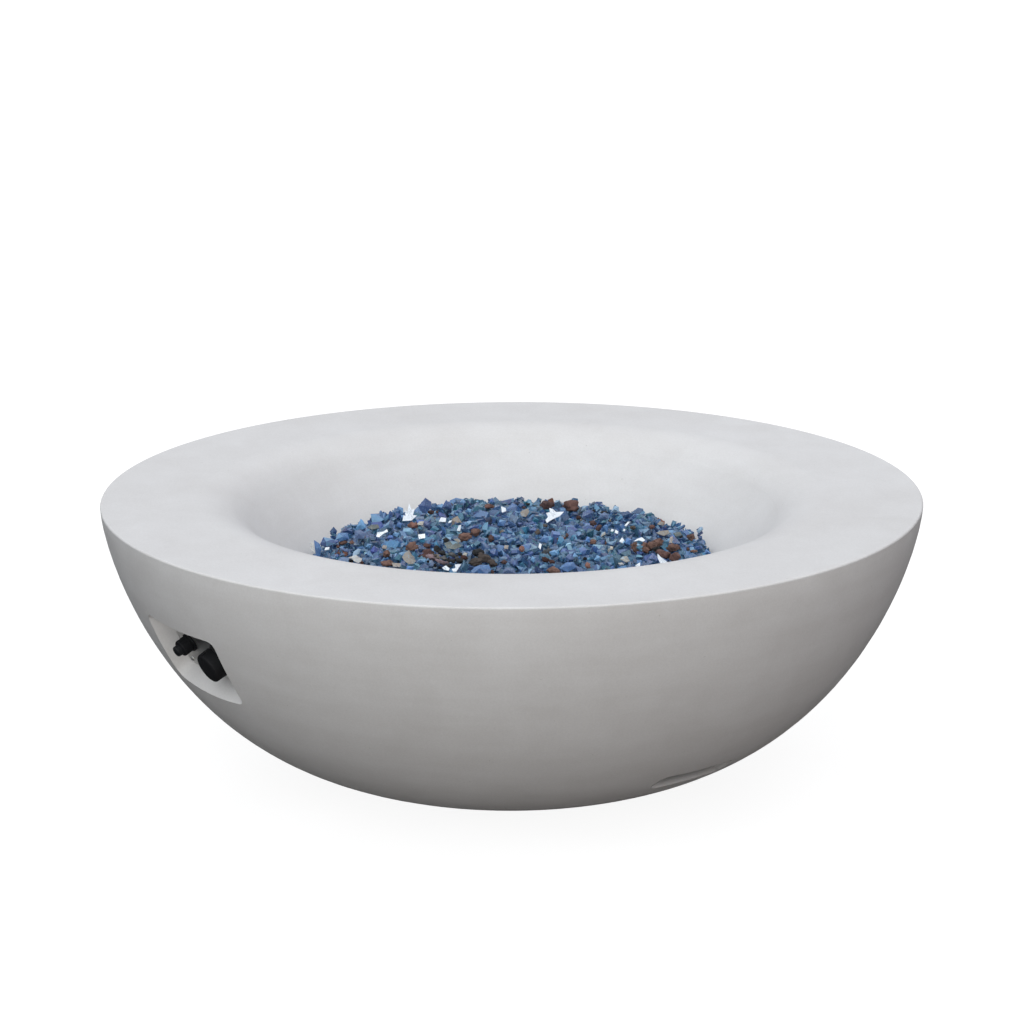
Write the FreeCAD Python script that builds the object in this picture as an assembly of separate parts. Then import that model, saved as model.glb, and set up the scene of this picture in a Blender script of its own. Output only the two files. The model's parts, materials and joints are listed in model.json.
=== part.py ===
import FreeCAD, Part
import math
import os

# Gas fire bowl: a cast concrete bowl that stands on the floor, with a shallow basin of fire
# glass over a ring burner, a control pocket in its side and a hose slot in its underside.
#
# Frame: millimetres, +Z up. The origin is on the floor, under the bowl's centre.
# The control pocket faces -Y. The hose slot faces +X.

os.makedirs("parts", exist_ok=True)
V = FreeCAD.Vector

# ---------------------------------------------------------------- driving dimensions
RIM_R = 533.4          # rim radius: the bowl is 42 in across
RIM_Z = 363.45         # height of the flat rim above the floor
FOOT_H = 8.0           # rubber feet lift the concrete this far off the floor
WALL = 14.0            # concrete wall, measured square to its surface
# poles of the outer wall's profile, a cubic Bezier curve in (radius, height)
POLES = [(150.32, 0.0), (444.71, 5.888), (530.841, 298.262), (533.4, 363.45)]
RIM_EDGE_R = 2.5       # rounding of the rim's outer edge
LIP_R = 408.0          # where the flat rim starts to roll into the basin
LIP_FILLET = 88.0      # radius of that roll
LIP_ANGLE = 43.0       # slope of the basin wall, degrees
LEDGE_R = 268.0        # the basin wall ends here, on the pan's ledge
LEDGE_Z = 262.0
LEDGE_IN_R = 236.0     # the opening that the burner pan drops through
LEDGE_UNDER_Z = 246.0
BOTTOM_HOLE_R = 150.0  # service opening in the bottom

# control pocket: its middle on the outer wall, and the tilt of its plate
POCKET_Y, POCKET_Z = -490.0, 227.0
TILT = 25.0            # the plate leans back from vertical by this much, its face turned down
PLATE_DEPTH = 23.5     # from the wall's surface to the plate's face
PLATE_W, PLATE_H, PLATE_T, PLATE_R = 126.0, 80.0, 1.5, 10.0
WINDOW_W, WINDOW_H = 116.0, 44.0
PLATE_SCREW_X, PLATE_SCREW_Y = 53.5, 32.0
# pocket sections: height above the plate's face, half width, half height, middle, corner radius
POCKET = [(42.0, 95.0, 61.5, -11.6, 13.0), (19.5, 79.0, 50.4, -5.4, 11.0),
          (8.0, 71.2, 45.4, -2.4, 11.0), (-PLATE_T, 64.0, 41.0, 0.0, 11.0)]

KNOB_X, KNOB_Y = 35.0, -5.5     # knob axis on the plate
KNOB_R = 19.6
KNOB_BASE, KNOB_TOP = 7.0, 24.0
KNOB_TRAVEL = 3.0
HUB_BASE = 9.3         # bottom of the knob's hub: above the valve's neck when pushed in
IGN_X, IGN_Y = -33.0, 0.7       # igniter axis on the plate
CAP_R = 10.75
CAP_BASE, CAP_TOP = 4.0, 17.0
BUTTON_R = 7.0
BUTTON_TOP = 24.5
BUTTON_TRAVEL = 3.0
FLANGE_Z = CAP_TOP - 4.4            # underside of the button's flange, inside the cap
NECK_TOP = FLANGE_Z - BUTTON_TRAVEL - 0.5   # top of the igniter's threaded neck

# hose slot in the outer wall, on +X
SLOT_HALF = 59.0
SLOT_Z0, SLOT_Z1 = 66.0, 89.4
SLOT_R0, SLOT_R1 = 358.5, 388.1      # radius of the outer wall at those two heights
SILL_R, SILL_Z = 341.5, 71.2         # the sill curves up from the lip to this radius and height

# burner
PAN_R, PAN_FLANGE_R, PAN_Z, PAN_T = 232.0, 264.0, 200.0, 1.5
RING_R, TUBE_R, TUBE_WALL, RING_Z = 152.0, 11.0, 1.2, 225.0
HEAP_R, HEAP_SHOULDER_Z, HEAP_TOP_Z = 233.0, 291.0, 297.0   # top of the fire glass
INLET_Z = 80.3
FLARE_R = 7.94         # 5/8 in male flare
HOSE_R = 5.0
LEAD_R = 2.0
PROBE_LEAD_R = 1.2


# ---------------------------------------------------------------- helpers
def save(name, shape):
    shape.exportStep("parts/%s.step" % name)


def group(name, solids):
    save(name, Part.makeCompound(solids))


def cyl(r, h, base=(0, 0, 0), axis=(0, 0, 1)):
    return Part.makeCylinder(r, h, V(*base), V(*axis))


def ring(ro, ri, h, base=(0, 0, 0), axis=(0, 0, 1)):
    a = V(*axis)
    a.normalize()
    b = V(*base)
    hole = Part.makeCylinder(ri, h + 2, b - a, a)
    return Part.makeCylinder(ro, h, b, a).cut(hole)


def box(x0, y0, z0, x1, y1, z1):
    return Part.makeBox(x1 - x0, y1 - y0, z1 - z0, V(x0, y0, z0))


def place(shape, origin, axis):
    """A shape drawn along +Z from its own origin, moved to stand on origin along axis."""
    s = shape.copy()
    s.Placement = FreeCAD.Placement(V(*origin), FreeCAD.Rotation(V(0, 0, 1), V(*axis)))
    return s


def prism(points, h, z=0.0):
    pts = [V(x, y, z) for x, y in points]
    pts.append(pts[0])
    return Part.Face(Part.makePolygon(pts)).extrude(V(0, 0, h))


def hexa(af, h, z=0.0, turn=0.0):
    r = af / math.sqrt(3.0)
    return prism([(r * math.cos(math.radians(60 * i + turn)), r * math.sin(math.radians(60 * i + turn))) for i in range(6)], h, z)


def rounded_wire(hw, hh, r, z, cy=0.0, cx=0.0):
    """A rectangle with rounded corners in the plane at height z."""
    k = r * math.sqrt(0.5)
    e = []
    corners = [(hw - r, hh - r, 0), (-(hw - r), hh - r, 90), (-(hw - r), -(hh - r), 180), (hw - r, -(hh - r), 270)]
    ends = []
    for x, y, a in corners:
        c, s = math.cos(math.radians(a)), math.sin(math.radians(a))
        p = V(cx + x + r * c, cy + y + r * s, z)
        q = V(cx + x - r * s, cy + y + r * c, z)
        m = V(cx + x + k * (c - s), cy + y + k * (s + c), z)
        ends.append((p, m, q))
    for i, (p, m, q) in enumerate(ends):
        e.append(Part.Arc(p, m, q).toShape())
        nxt = ends[(i + 1) % 4][0]
        e.append(Part.LineSegment(q, nxt).toShape())
    return Part.Wire(e)


def rounded_plate(hw, hh, r, z0, z1, cy=0.0, cx=0.0):
    return Part.Face(rounded_wire(hw, hh, r, z0, cy, cx)).extrude(V(0, 0, z1 - z0))


def revolve(edges):
    """A closed profile in the XZ plane, turned about Z."""
    return Part.Face(Part.Wire(edges)).revolve(V(0, 0, 0), V(0, 0, 1), 360)


def rz(points):
    """Straight edges through (radius, height) points."""
    return [Part.LineSegment(V(a[0], 0, a[1]), V(b[0], 0, b[1])).toShape() for a, b in zip(points, points[1:])]


def arc3(a, m, b):
    return Part.Arc(V(a[0], 0, a[1]), V(m[0], 0, m[1]), V(b[0], 0, b[1])).toShape()


def dome(r, z_edge, z_top):
    """The profile of a spherical cap whose centre is on the axis, from its edge to its top."""
    big = (r * r + (z_top - z_edge) ** 2) / (2 * (z_top - z_edge))
    half = math.asin(r / big) / 2
    return arc3((r, z_edge), (big * math.sin(half), z_top - big + big * math.cos(half)), (0, z_top))


def lathe(points):
    """A closed polygon of (radius, height) points, turned about Z."""
    return revolve(rz(list(points) + [points[0]]))


def run(points, ro, ri=0.0, label=""):
    """A hose, pipe or lead along points: straight runs joined by tangent arcs. Each arc's
    radius is 0.45 of the shorter run beside it, divided by the tangent of half the turn."""
    p = [V(*q) for q in points]
    section = ring if ri else None
    solids, radii, length = [], [], 0.0
    start = p[0]
    for i in range(1, len(p)):
        d_in = p[i] - p[i - 1]
        if i < len(p) - 1:
            d_out = p[i + 1] - p[i]
            l1, l2 = d_in.Length, d_out.Length
            turn = d_in.getAngle(d_out)
            cut_back = 0.45 * min(l1, l2)
            radius = cut_back / math.tan(turn / 2)
            radii.append(radius)
            u1, u2 = V(d_in).normalize(), V(d_out).normalize()
            a, b = p[i] - u1 * cut_back, p[i] + u2 * cut_back
        else:
            u1 = V(d_in).normalize()
            a = p[i]
        straight = a - start
        if straight.Length > 1e-6:
            s = Part.makeCylinder(ro, straight.Length, start, u1)
            if section:
                s = s.cut(Part.makeCylinder(ri, straight.Length, start, u1))
            solids.append(s)
            length += straight.Length
        if i < len(p) - 1:
            bis = V(u2 - u1).normalize()
            centre = p[i] + bis * math.hypot(radius, cut_back)
            axis = V(u1.cross(u2)).normalize()
            w = Part.Wire(Part.Circle(a, u1, ro).toShape())
            f = Part.Face(w)
            if section:
                f = f.cut(Part.Face(Part.Wire(Part.Circle(a, u1, ri).toShape())))
            s = f.revolve(centre, axis, math.degrees(turn))
            s = s.Solids[0] if s.Solids else Part.Solid(s.Shells[0])
            if s.Volume < 0:
                s.reverse()
            solids.append(s)
            length += radius * turn
            start = b
    whole = solids[0].multiFuse(solids[1:])
    whole = whole.removeSplitter()
    area = math.pi * (ro * ro - ri * ri)
    if label:
        print("%-18s length %.1f  volume/(section*length) %.4f  solids %d  radii %s" % (
            label, length, whole.Volume / (area * length), len(whole.Solids), " ".join("%.0f" % r for r in radii)))
    return whole.Solids[0]


def helix_spring(r_mid, wire_r, z0, z1, turns):
    """A coil spring along +Z between z0 and z1, with a nearly flat coil at each end."""
    n = 8
    count = n * turns
    pts = []
    for i in range(count + 1):
        # the end coils rise half as fast as the middle ones
        f = min(i, n) * 0.5 + max(0, min(i, count - n) - n) + max(0, i - (count - n)) * 0.5
        f /= count - n
        a = 2 * math.pi * i / n
        pts.append((r_mid * math.cos(a), r_mid * math.sin(a), z0 + wire_r * 1.05 + (z1 - z0 - 2.1 * wire_r) * f))
    return run(pts, wire_r)


def pan_head_screw(r, head_r, head_h, length):
    """Head above z=0, shank below, with a cross recess."""
    head = lathe([(0, 0), (head_r, 0), (head_r, head_h * 0.45), (head_r * 0.72, head_h * 0.9), (head_r * 0.4, head_h), (0, head_h)])
    s = head.fuse(cyl(r, length, (0, 0, -length)))
    a, b = head_r * 0.55, head_r * 0.13
    slot = box(-a, -b, head_h * 0.35, a, b, head_h + 1).fuse(box(-b, -a, head_h * 0.35, b, a, head_h + 1))
    return s.cut(slot).removeSplitter()


def insert(ro, ri, length):
    """Threaded insert, its mouth at z=0 and its body below; a groove locks it in the concrete."""
    s = ring(ro, ri, length, (0, 0, -length))
    return s.cut(ring(ro + 1, ro - 0.5, length * 0.2, (0, 0, -length * 0.6)))


# ---------------------------------------------------------------- outer profile
def bez(t):
    a, b, c, d = (1 - t) ** 3, 3 * (1 - t) ** 2 * t, 3 * (1 - t) * t * t, t ** 3
    return (a * POLES[0][0] + b * POLES[1][0] + c * POLES[2][0] + d * POLES[3][0],
            a * POLES[0][1] + b * POLES[1][1] + c * POLES[2][1] + d * POLES[3][1])


def dbez(t):
    a, b, c = 3 * (1 - t) ** 2, 6 * (1 - t) * t, 3 * t * t
    return tuple(a * (POLES[1][k] - POLES[0][k]) + b * (POLES[2][k] - POLES[1][k]) + c * (POLES[3][k] - POLES[2][k]) for k in (0, 1))


def offset(t, d):
    (r, z), (tr, tz) = bez(t), dbez(t)
    n = math.hypot(tr, tz)
    return r - d * tz / n, z + d * tr / n


def solve(f, target):
    lo, hi = 0.0, 1.0
    for _ in range(60):
        mid = (lo + hi) / 2
        if f(mid) < target:
            lo = mid
        else:
            hi = mid
    return (lo + hi) / 2


t_foot = solve(lambda t: bez(t)[1], FOOT_H)
t_rim = solve(lambda t: bez(t)[1], RIM_Z - RIM_EDGE_R)
curve = Part.BezierCurve()
curve.setPoles([V(r, 0, z) for r, z in POLES])
outer_edge = curve.toShape(t_foot, t_rim)
foot_r = bez(t_foot)[0]
edge_r = bez(t_rim)[0]
q = RIM_EDGE_R * (1 - math.sqrt(0.5))

# basin
la = math.radians(LIP_ANGLE)
lip_c = (LIP_R, RIM_Z - LIP_FILLET)
lip_end = (LIP_R - LIP_FILLET * math.sin(la), lip_c[1] + LIP_FILLET * math.cos(la))
lip_mid = (LIP_R - LIP_FILLET * math.sin(la / 2), lip_c[1] + LIP_FILLET * math.cos(la / 2))
wall_foot = (LEDGE_R, lip_end[1] - (lip_end[0] - LEDGE_R) * math.tan(la))

solid = revolve(
    rz([(0, FOOT_H), (foot_r, FOOT_H)])
    + [outer_edge]
    + [arc3((edge_r, RIM_Z - RIM_EDGE_R), (edge_r - q, RIM_Z - q), (edge_r - RIM_EDGE_R, RIM_Z))]
    + rz([(edge_r - RIM_EDGE_R, RIM_Z), (LIP_R, RIM_Z)])
    + [arc3((LIP_R, RIM_Z), lip_mid, lip_end)]
    + rz([lip_end, wall_foot, (LEDGE_R, LEDGE_Z), (0, LEDGE_Z), (0, FOOT_H)]))

# hollow inside the shell: wall thickness WALL everywhere
UNDER_Z = RIM_Z - WALL
under_r = LIP_FILLET - WALL
u_end = (LIP_R - under_r * math.sin(la), lip_c[1] + under_r * math.cos(la))
u_mid = (LIP_R - under_r * math.sin(la / 2), lip_c[1] + under_r * math.cos(la / 2))
u_foot_r = u_end[0] - (u_end[1] - LEDGE_UNDER_Z) / math.tan(la)
CORNER = 18.0
t_a = solve(lambda t: offset(t, WALL)[1], FOOT_H + WALL)
t_b = solve(lambda t: offset(t, WALL)[1], UNDER_Z - CORNER)
A, B = offset(t_a, WALL), offset(t_b, WALL)
scale = math.dist(A, B) / math.dist(bez(t_a), bez(t_b))
da, db = dbez(t_a), dbez(t_b)
k = (t_b - t_a) / 3 * scale
inner = Part.BezierCurve()
inner.setPoles([V(A[0], 0, A[1]), V(A[0] + da[0] * k, 0, A[1] + da[1] * k),
                V(B[0] - db[0] * k, 0, B[1] - db[1] * k), V(B[0], 0, B[1])])
cq = CORNER * (1 - math.sqrt(0.5))
hollow = revolve(
    rz([(0, 0), (BOTTOM_HOLE_R, 0), (BOTTOM_HOLE_R, A[1]), A])
    + [inner.toShape()]
    + [arc3(B, (B[0] - cq + 1.0, UNDER_Z - cq), (B[0] - CORNER, UNDER_Z))]
    + rz([(B[0] - CORNER, UNDER_Z), (LIP_R, UNDER_Z)])
    + [arc3((LIP_R, UNDER_Z), u_mid, u_end)]
    + rz([u_end, (u_foot_r, LEDGE_UNDER_Z), (LEDGE_IN_R, LEDGE_UNDER_Z), (LEDGE_IN_R, 300), (0, 300), (0, 0)]))

# ---------------------------------------------------------------- control pocket frame
# Local frame of the control plate: x along the bowl's side, y up the plate, z out of its face.
ta = math.radians(TILT)
N = V(0, -math.cos(ta), -math.sin(ta))
U = V(0, -math.sin(ta), math.cos(ta))
C = V(0, POCKET_Y, POCKET_Z) - N * PLATE_DEPTH
M = FreeCAD.Matrix(1, U.x, N.x, C.x, 0, U.y, N.y, C.y, 0, U.z, N.z, C.z, 0, 0, 0, 1)
PLATE_FRAME = FreeCAD.Placement(M)


def on_plate(shape):
    s = shape.copy()
    s.Placement = PLATE_FRAME.multiply(s.Placement)
    return s


def at(x, y, z):
    """A point of the plate's frame, in the row frame."""
    p = C + V(1, 0, 0) * x + U * y + N * z
    return (p.x, p.y, p.z)


# the concrete is thicker round the pocket
boss = on_plate(Part.makeLoft([rounded_wire(95, 69, 26, 40.0, -1.0), rounded_wire(78, 55, 26, -PLATE_T - WALL)], True, True))
pocket = on_plate(Part.makeLoft([rounded_wire(w, h, r, z, cy) for z, w, h, cy, r in POCKET], True, False))
window = on_plate(rounded_plate(WINDOW_W / 2, WINDOW_H / 2, 8, -40, 1))

# ---------------------------------------------------------------- fastener places
plate_screw_xy = [(sx * PLATE_SCREW_X, sy * PLATE_SCREW_Y) for sx in (-1, 1) for sy in (-1, 1)]
foot_xy = [(195 * math.cos(math.radians(a)), 195 * math.sin(math.radians(a))) for a in (45, 135, 225, 315)]
base_xy = [(161 * math.cos(math.radians(a)), 161 * math.sin(math.radians(a))) for a in range(0, 360, 60)]
bracket_xy = [(176.0, -16.0), (176.0, 16.0)]

# ---------------------------------------------------------------- bowl shell
shell = solid.cut(hollow.cut(boss)).cut(pocket).cut(window)
slot = Part.Face(rounded_wire(SLOT_HALF, (SLOT_Z1 - SLOT_Z0) / 2, (SLOT_Z1 - SLOT_Z0) / 2 - 0.01, 0)).extrude(V(0, 0, 190))
slot.Placement = FreeCAD.Placement(V(270, 0, (SLOT_Z0 + SLOT_Z1) / 2), FreeCAD.Rotation(V(0, 1, 0), V(0, 0, 1), V(1, 0, 0), "ZXY"))
ramp = revolve(
    rz([(260, 60), (SLOT_R0 + 3.5, 60), (SLOT_R0 + 3.5, SLOT_Z0 - 2.8), (SLOT_R0, SLOT_Z0)])
    + [arc3((SLOT_R0, SLOT_Z0), (351.0, 69.9), (SILL_R, SILL_Z))]
    + rz([(SILL_R, SILL_Z), (260, SILL_Z), (260, 60)]))
ramp = ramp.common(box(200, -60, 55, 420, 60, 80))
head_room = lathe([(SLOT_R1 - 37.0, SLOT_Z1 - 1), (SLOT_R1, SLOT_Z1 - 1), (SLOT_R1, SLOT_Z1), (SLOT_R1 - 37.0, SLOT_Z1 + 17.3)])
head_room = head_room.common(box(200, -47, 80, 420, 47, 112))
shell = shell.cut(slot.cut(ramp)).cut(head_room)
holes = [on_plate(cyl(3.05, 12.4, (x, y, -PLATE_T - 12.4))) for x, y in plate_screw_xy]
holes += [cyl(3.55, 11.0, (x, y, FOOT_H)) for x, y in foot_xy + base_xy]
holes += [cyl(3.55, 10.0, (x, y, FOOT_H + WALL - 10.0)) for x, y in bracket_xy]
for h in holes:
    shell = shell.cut(h)
shell = shell.Solids[0] if len(shell.Solids) == 1 else shell
print("bowl_shell solids", len(shell.Solids), "valid", shell.isValid(), "litres %.2f" % (shell.Volume / 1e6))
save("bowl_shell", shell)

inserts = [on_plate(place(insert(3.0, 2.05, 12.0), (x, y, -PLATE_T), (0, 0, 1))) for x, y in plate_screw_xy]
inserts += [place(insert(3.5, 2.55, 10.5), (x, y, FOOT_H), (0, 0, -1)) for x, y in foot_xy + base_xy]
inserts += [place(insert(3.5, 2.05, 9.5), (x, y, FOOT_H + WALL), (0, 0, 1)) for x, y in bracket_xy]
group("threaded_inserts", inserts)

# ---------------------------------------------------------------- feet and base plate
foot = lathe([(2.7, 4.2), (7.0, 4.2), (7.0, 0), (18.5, 0), (20.0, 1.5), (20.0, 7.0), (19.0, 8.0), (2.7, 8.0)])
group("rubber_feet", [place(foot, (x, y, 0), (0, 0, 1)) for x, y in foot_xy])
foot_screw = pan_head_screw(2.5, 4.8, 2.6, 12.0)
group("foot_screws", [place(foot_screw, (x, y, 4.2), (0, 0, -1)) for x, y in foot_xy])

plate = ring(172.0, 15.0, 1.5, (0, 0, FOOT_H - 1.5))
for x, y in base_xy:
    plate = plate.cut(cyl(2.8, 3, (x, y, FOOT_H - 2)))
for n, rr, a0 in ((12, 118.0, 15.0), (6, 62.0, 0.0)):
    for i in range(n):
        a = math.radians(a0 + 360.0 / n * i)
        plate = plate.cut(cyl(10.0, 3, (rr * math.cos(a), rr * math.sin(a), FOOT_H - 2)))
save("base_plate", plate)
base_screw = pan_head_screw(2.5, 4.6, 2.6, 10.0)
group("base_plate_screws", [place(base_screw, (x, y, FOOT_H - 1.5), (0, 0, -1)) for x, y in base_xy])

# ---------------------------------------------------------------- burner pan
save("pan_gasket", ring(PAN_FLANGE_R, 238.0, 2.0, (0, 0, LEDGE_Z)))
fz = LEDGE_Z + 2.0
pan = lathe([(11.0, PAN_Z), (216.0, PAN_Z), (222.6, PAN_Z + 2.4), (225.0, PAN_Z + 9.0), (PAN_R, fz), (PAN_FLANGE_R, fz),
             (PAN_FLANGE_R, fz + PAN_T), (PAN_R - 1.3, fz + PAN_T), (223.5, PAN_Z + 9.3), (221.5, PAN_Z + 3.5), (215.6, PAN_Z + PAN_T), (11.0, PAN_Z + PAN_T)])
for i in range(10):
    a = math.radians(18 + 36 * i)
    pan = pan.cut(cyl(3.0, 4, (196 * math.cos(a), 196 * math.sin(a), PAN_Z - 1)))
PX, PY = 14.0, -180.0     # ignition electrode on -PX, thermocouple on +PX
for x, r in ((-PX, 4.6), (PX, 4.6), (-25.0, 2.2), (25.0, 2.2)):
    pan = pan.cut(cyl(r, 4, (x, PY, PAN_Z - 1)))
save("burner_pan", pan)

# ring burner: a ring of tube with a cross tube and a threaded hub
outer_b = Part.makeTorus(RING_R, TUBE_R, V(0, 0, RING_Z)).fuse(
    [cyl(TUBE_R, 2 * RING_R, (-RING_R, 0, RING_Z), (1, 0, 0)), cyl(17.0, 28.0, (0, 0, 208.0))])
ri = TUBE_R - TUBE_WALL
inner_b = Part.makeTorus(RING_R, ri, V(0, 0, RING_Z)).fuse(
    [cyl(ri, 2 * RING_R, (-RING_R, 0, RING_Z), (1, 0, 0)), cyl(10.55, 17.0, (0, 0, 207.0))])
burner = outer_b.cut(inner_b)
ports = []
for i in range(36):
    a = math.radians(10 * i + 5)
    d = V(math.cos(a) * 0.6, math.sin(a) * 0.6, 0.8)
    ports.append(Part.makeCylinder(1.3, TUBE_R + 2, V(RING_R * math.cos(a), RING_R * math.sin(a), RING_Z), d))
for x in (-120, -95, -70, -45, 45, 70, 95, 120):
    ports.append(Part.makeCylinder(1.3, TUBE_R + 2, V(x, 0, RING_Z), V(0, 0.6, 0.8)))
burner = burner.cut(Part.makeCompound(ports))
print("ring_burner solids", len(burner.Solids), burner.isValid(), "volume", burner.Volume)
save("ring_burner", burner)

nipple = ring(10.5, 8.0, 65.0, (0, 0, 157.0))
save("burner_nipple", nipple)
nut = hexa(32, 6).cut(cyl(10.55, 8, (0, 0, -1)))
group("pan_locknuts", [place(nut, (0, 0, PAN_Z + PAN_T), (0, 0, 1)), place(nut, (0, 0, PAN_Z - 6), (0, 0, 1))])
mixer = lathe([(5.05, 108), (13, 108), (13, 112), (11.5, 114), (11.5, 142), (15, 146), (15, 172), (10.55, 172), (10.55, 156.5), (8.0, 156.5), (8.0, 118), (5.05, 114)])
for i in range(4):
    w = box(-4.5, 5, 120, 4.5, 20, 138)
    w.rotate(V(0, 0, 0), V(0, 0, 1), 45 + 90 * i)
    mixer = mixer.cut(w)
save("air_mixer", mixer)
jet = lathe([(0.9, 96), (5.0, 96), (5.0, 118), (3.2, 122), (0.9, 122)]).cut(lathe([(0, 95), (2.6, 95), (2.6, 114), (0.9, 119), (0, 119)]))
jet = jet.fuse(hexa(14, 5, 102.5).cut(cyl(4.9, 8, (0, 0, 101)))).removeSplitter()
save("gas_jet", jet)
ez = 90.0
elbow = box(-9, -9, ez - 9, 9, 9, ez + 12).fuse(cyl(7.0, 29, (0, 0, ez), (0, -1, 0)))
elbow = elbow.cut(cyl(5.05, 7.0, (0, 0, ez + 5.5))).cut(cyl(3.5, 31, (0, 0, ez), (0, -1, 0))).cut(cyl(3.5, 8, (0, 0, ez)))
save("jet_elbow", elbow)

# ---------------------------------------------------------------- gas valve behind the plate
GAS_H = -36.0     # depth of the gas connections behind the plate's face
hub = cyl(9.95, 9.5, (KNOB_X, KNOB_Y, -4.0)).fuse(cyl(13.0, 4.4, (KNOB_X, KNOB_Y, -6.0)))
block = rounded_plate(15.0, 14.0, 2.5, -46.0, -5.0, KNOB_Y, KNOB_X)
body = hub.fuse([block, cyl(8.0, 6.0, (KNOB_X, KNOB_Y, -52.0)),
                 cyl(7.0, 10.0, (KNOB_X + 13, KNOB_Y, GAS_H), (1, 0, 0)),
                 cyl(7.0, 10.0, (KNOB_X, KNOB_Y - 12, GAS_H), (0, -1, 0))])
body = body.cut(cyl(4.06, 40, (KNOB_X, KNOB_Y, -30.0))).cut(cyl(8.0, 21, (KNOB_X, KNOB_Y, -20.0)))
body = body.cut(cyl(2.5, 8, (KNOB_X, KNOB_Y, -37.0))).cut(cyl(3.5, 26, (KNOB_X, KNOB_Y, GAS_H), (1, 0, 0)))
body = body.cut(cyl(3.5, 26, (KNOB_X, KNOB_Y, GAS_H), (0, -1, 0))).cut(cyl(1.25, 8, (KNOB_X, KNOB_Y, -53.0)))
body = body.removeSplitter()
save("gas_valve_body", on_plate(body))
bezel = lathe([(10.1, 0), (21.5, 0), (21.5, 0.8), (20.0, 2.0), (10.1, 2.0)])
bezel.translate(V(KNOB_X, KNOB_Y, 0))
save("valve_bezel", on_plate(bezel))
lock = hexa(25, 3.2, 2.0).cut(cyl(10.0, 6, (0, 0, 1)))
lock.translate(V(KNOB_X, KNOB_Y, 0))
save("valve_locknut", on_plate(lock))
stem = cyl(4.0, KNOB_TOP - 3.0 + 22.0, (0, 0, -22)).fuse(cyl(6.5, 2.2, (0, 0, -1.4)))
stem = stem.cut(box(3.0, -6, 9.3, 6, 6, KNOB_TOP)).removeSplitter()
stem.translate(V(KNOB_X, KNOB_Y, 0))
save("valve_stem", on_plate(stem))
washer = ring(7.6, 4.06, 1.4, (KNOB_X, KNOB_Y, -3.0))
save("spring_washer", on_plate(washer))
vs = helix_spring(6.0, 0.6, -19.9, -3.1, 5)
vs.translate(V(KNOB_X, KNOB_Y, 0))
save("valve_spring", on_plate(vs))

# knob: a tapered cup with a domed face, a web and a keyed hub
kb, kt = KNOB_BASE, KNOB_TOP
knob = revolve(
    rz([(0, kt - 5.5), (16.8, kt - 5.5), (17.2, kb), (KNOB_R + 0.4, kb), (KNOB_R, kt - 4.0)])
    + [arc3((KNOB_R, kt - 4.0), (KNOB_R - 0.8, kt - 2.1), (KNOB_R - 2.8, kt - 1.2))]
    + [dome(KNOB_R - 2.8, kt - 1.2, kt)]
    + rz([(0, kt), (0, kt - 5.5)]))
knob_hub = cyl(8.0, kt - 5.5 - HUB_BASE + 1.0, (0, 0, HUB_BASE))
knob = knob.fuse(knob_hub).removeSplitter()
bore = cyl(4.03, kt - 2.7 - 6.4, (0, 0, 6.4)).cut(box(3.03, -6, 5, 6, 6, kt))
knob = knob.cut(bore)
# pointer groove from the face's edge towards the middle, and down the side
groove = box(-0.9, 9.0, kt - 1.9, 0.9, 30.0, kt + 2).fuse(box(-0.9, KNOB_R - 0.8, kt - 10, 0.9, 30.0, kt + 2))
knob = knob.cut(groove)
knob.translate(V(KNOB_X, KNOB_Y, 0))
print("knob", len(knob.Solids), knob.isValid())
save("control_knob", on_plate(knob))

# ---------------------------------------------------------------- igniter
ih = lathe([(7.6, -60), (9.5, -60), (9.5, 0.2), (12.6, 0.2), (12.6, 2.4), (11.8, 3.4), (9.2, 3.6), (9.2, NECK_TOP), (7.6, NECK_TOP)])
ih.translate(V(IGN_X, IGN_Y, 0))
save("igniter_housing", on_plate(ih))
inut = hexa(26, 6, -PLATE_T - 6.2, 30).cut(cyl(9.55, 10, (0, 0, -10)))
inut.translate(V(IGN_X, IGN_Y, 0))
save("igniter_nut", on_plate(inut))
end = lathe([(0, -66), (4.5, -66), (4.5, -63), (9.5, -61.6), (9.5, -60.1), (7.5, -60.1), (7.5, -54), (0, -54)]).cut(cyl(2.05, 6, (0, 0, -67)))
end.translate(V(IGN_X, IGN_Y, 0))
save("igniter_end_cap", on_plate(end))
cell = lathe([(0, -53.8), (7.2, -53.8), (7.2, -4.6), (2.8, -4.6), (2.8, -3.4), (0, -3.4)])
cell.translate(V(IGN_X, IGN_Y, 0))
save("igniter_battery", on_plate(cell))
bs = helix_spring(5.6, 0.5, -4.4, FLANGE_Z - 0.1, 6)
bs.translate(V(IGN_X, IGN_Y, 0))
save("button_spring", on_plate(bs))
seal = ring(10.15, 9.5, 1.6, (IGN_X, IGN_Y, CAP_BASE + 0.2))
save("igniter_cap_seal", on_plate(seal))
cap = revolve(
    rz([(10.2, CAP_BASE), (CAP_R, CAP_BASE), (CAP_R, CAP_TOP - 2.2)])
    + [arc3((CAP_R, CAP_TOP - 2.2), (CAP_R - 0.65, CAP_TOP - 0.65), (CAP_R - 2.2, CAP_TOP))]
    + rz([(CAP_R - 2.2, CAP_TOP), (BUTTON_R + 0.3, CAP_TOP), (BUTTON_R + 0.3, CAP_TOP - 2.4), (9.45, CAP_TOP - 2.4), (9.45, CAP_BASE + 2.0), (10.2, CAP_BASE + 2.0), (10.2, CAP_BASE)]))
for i in range(16):
    a = math.radians(22.5 * i)
    cap = cap.cut(cyl(0.75, CAP_TOP - 9.0, (11.2 * math.cos(a), 11.2 * math.sin(a), 6.2)))
cap.translate(V(IGN_X, IGN_Y, 0))
print("cap", len(cap.Solids), cap.isValid())
save("igniter_cap", on_plate(cap))
bt = BUTTON_TOP
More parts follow.
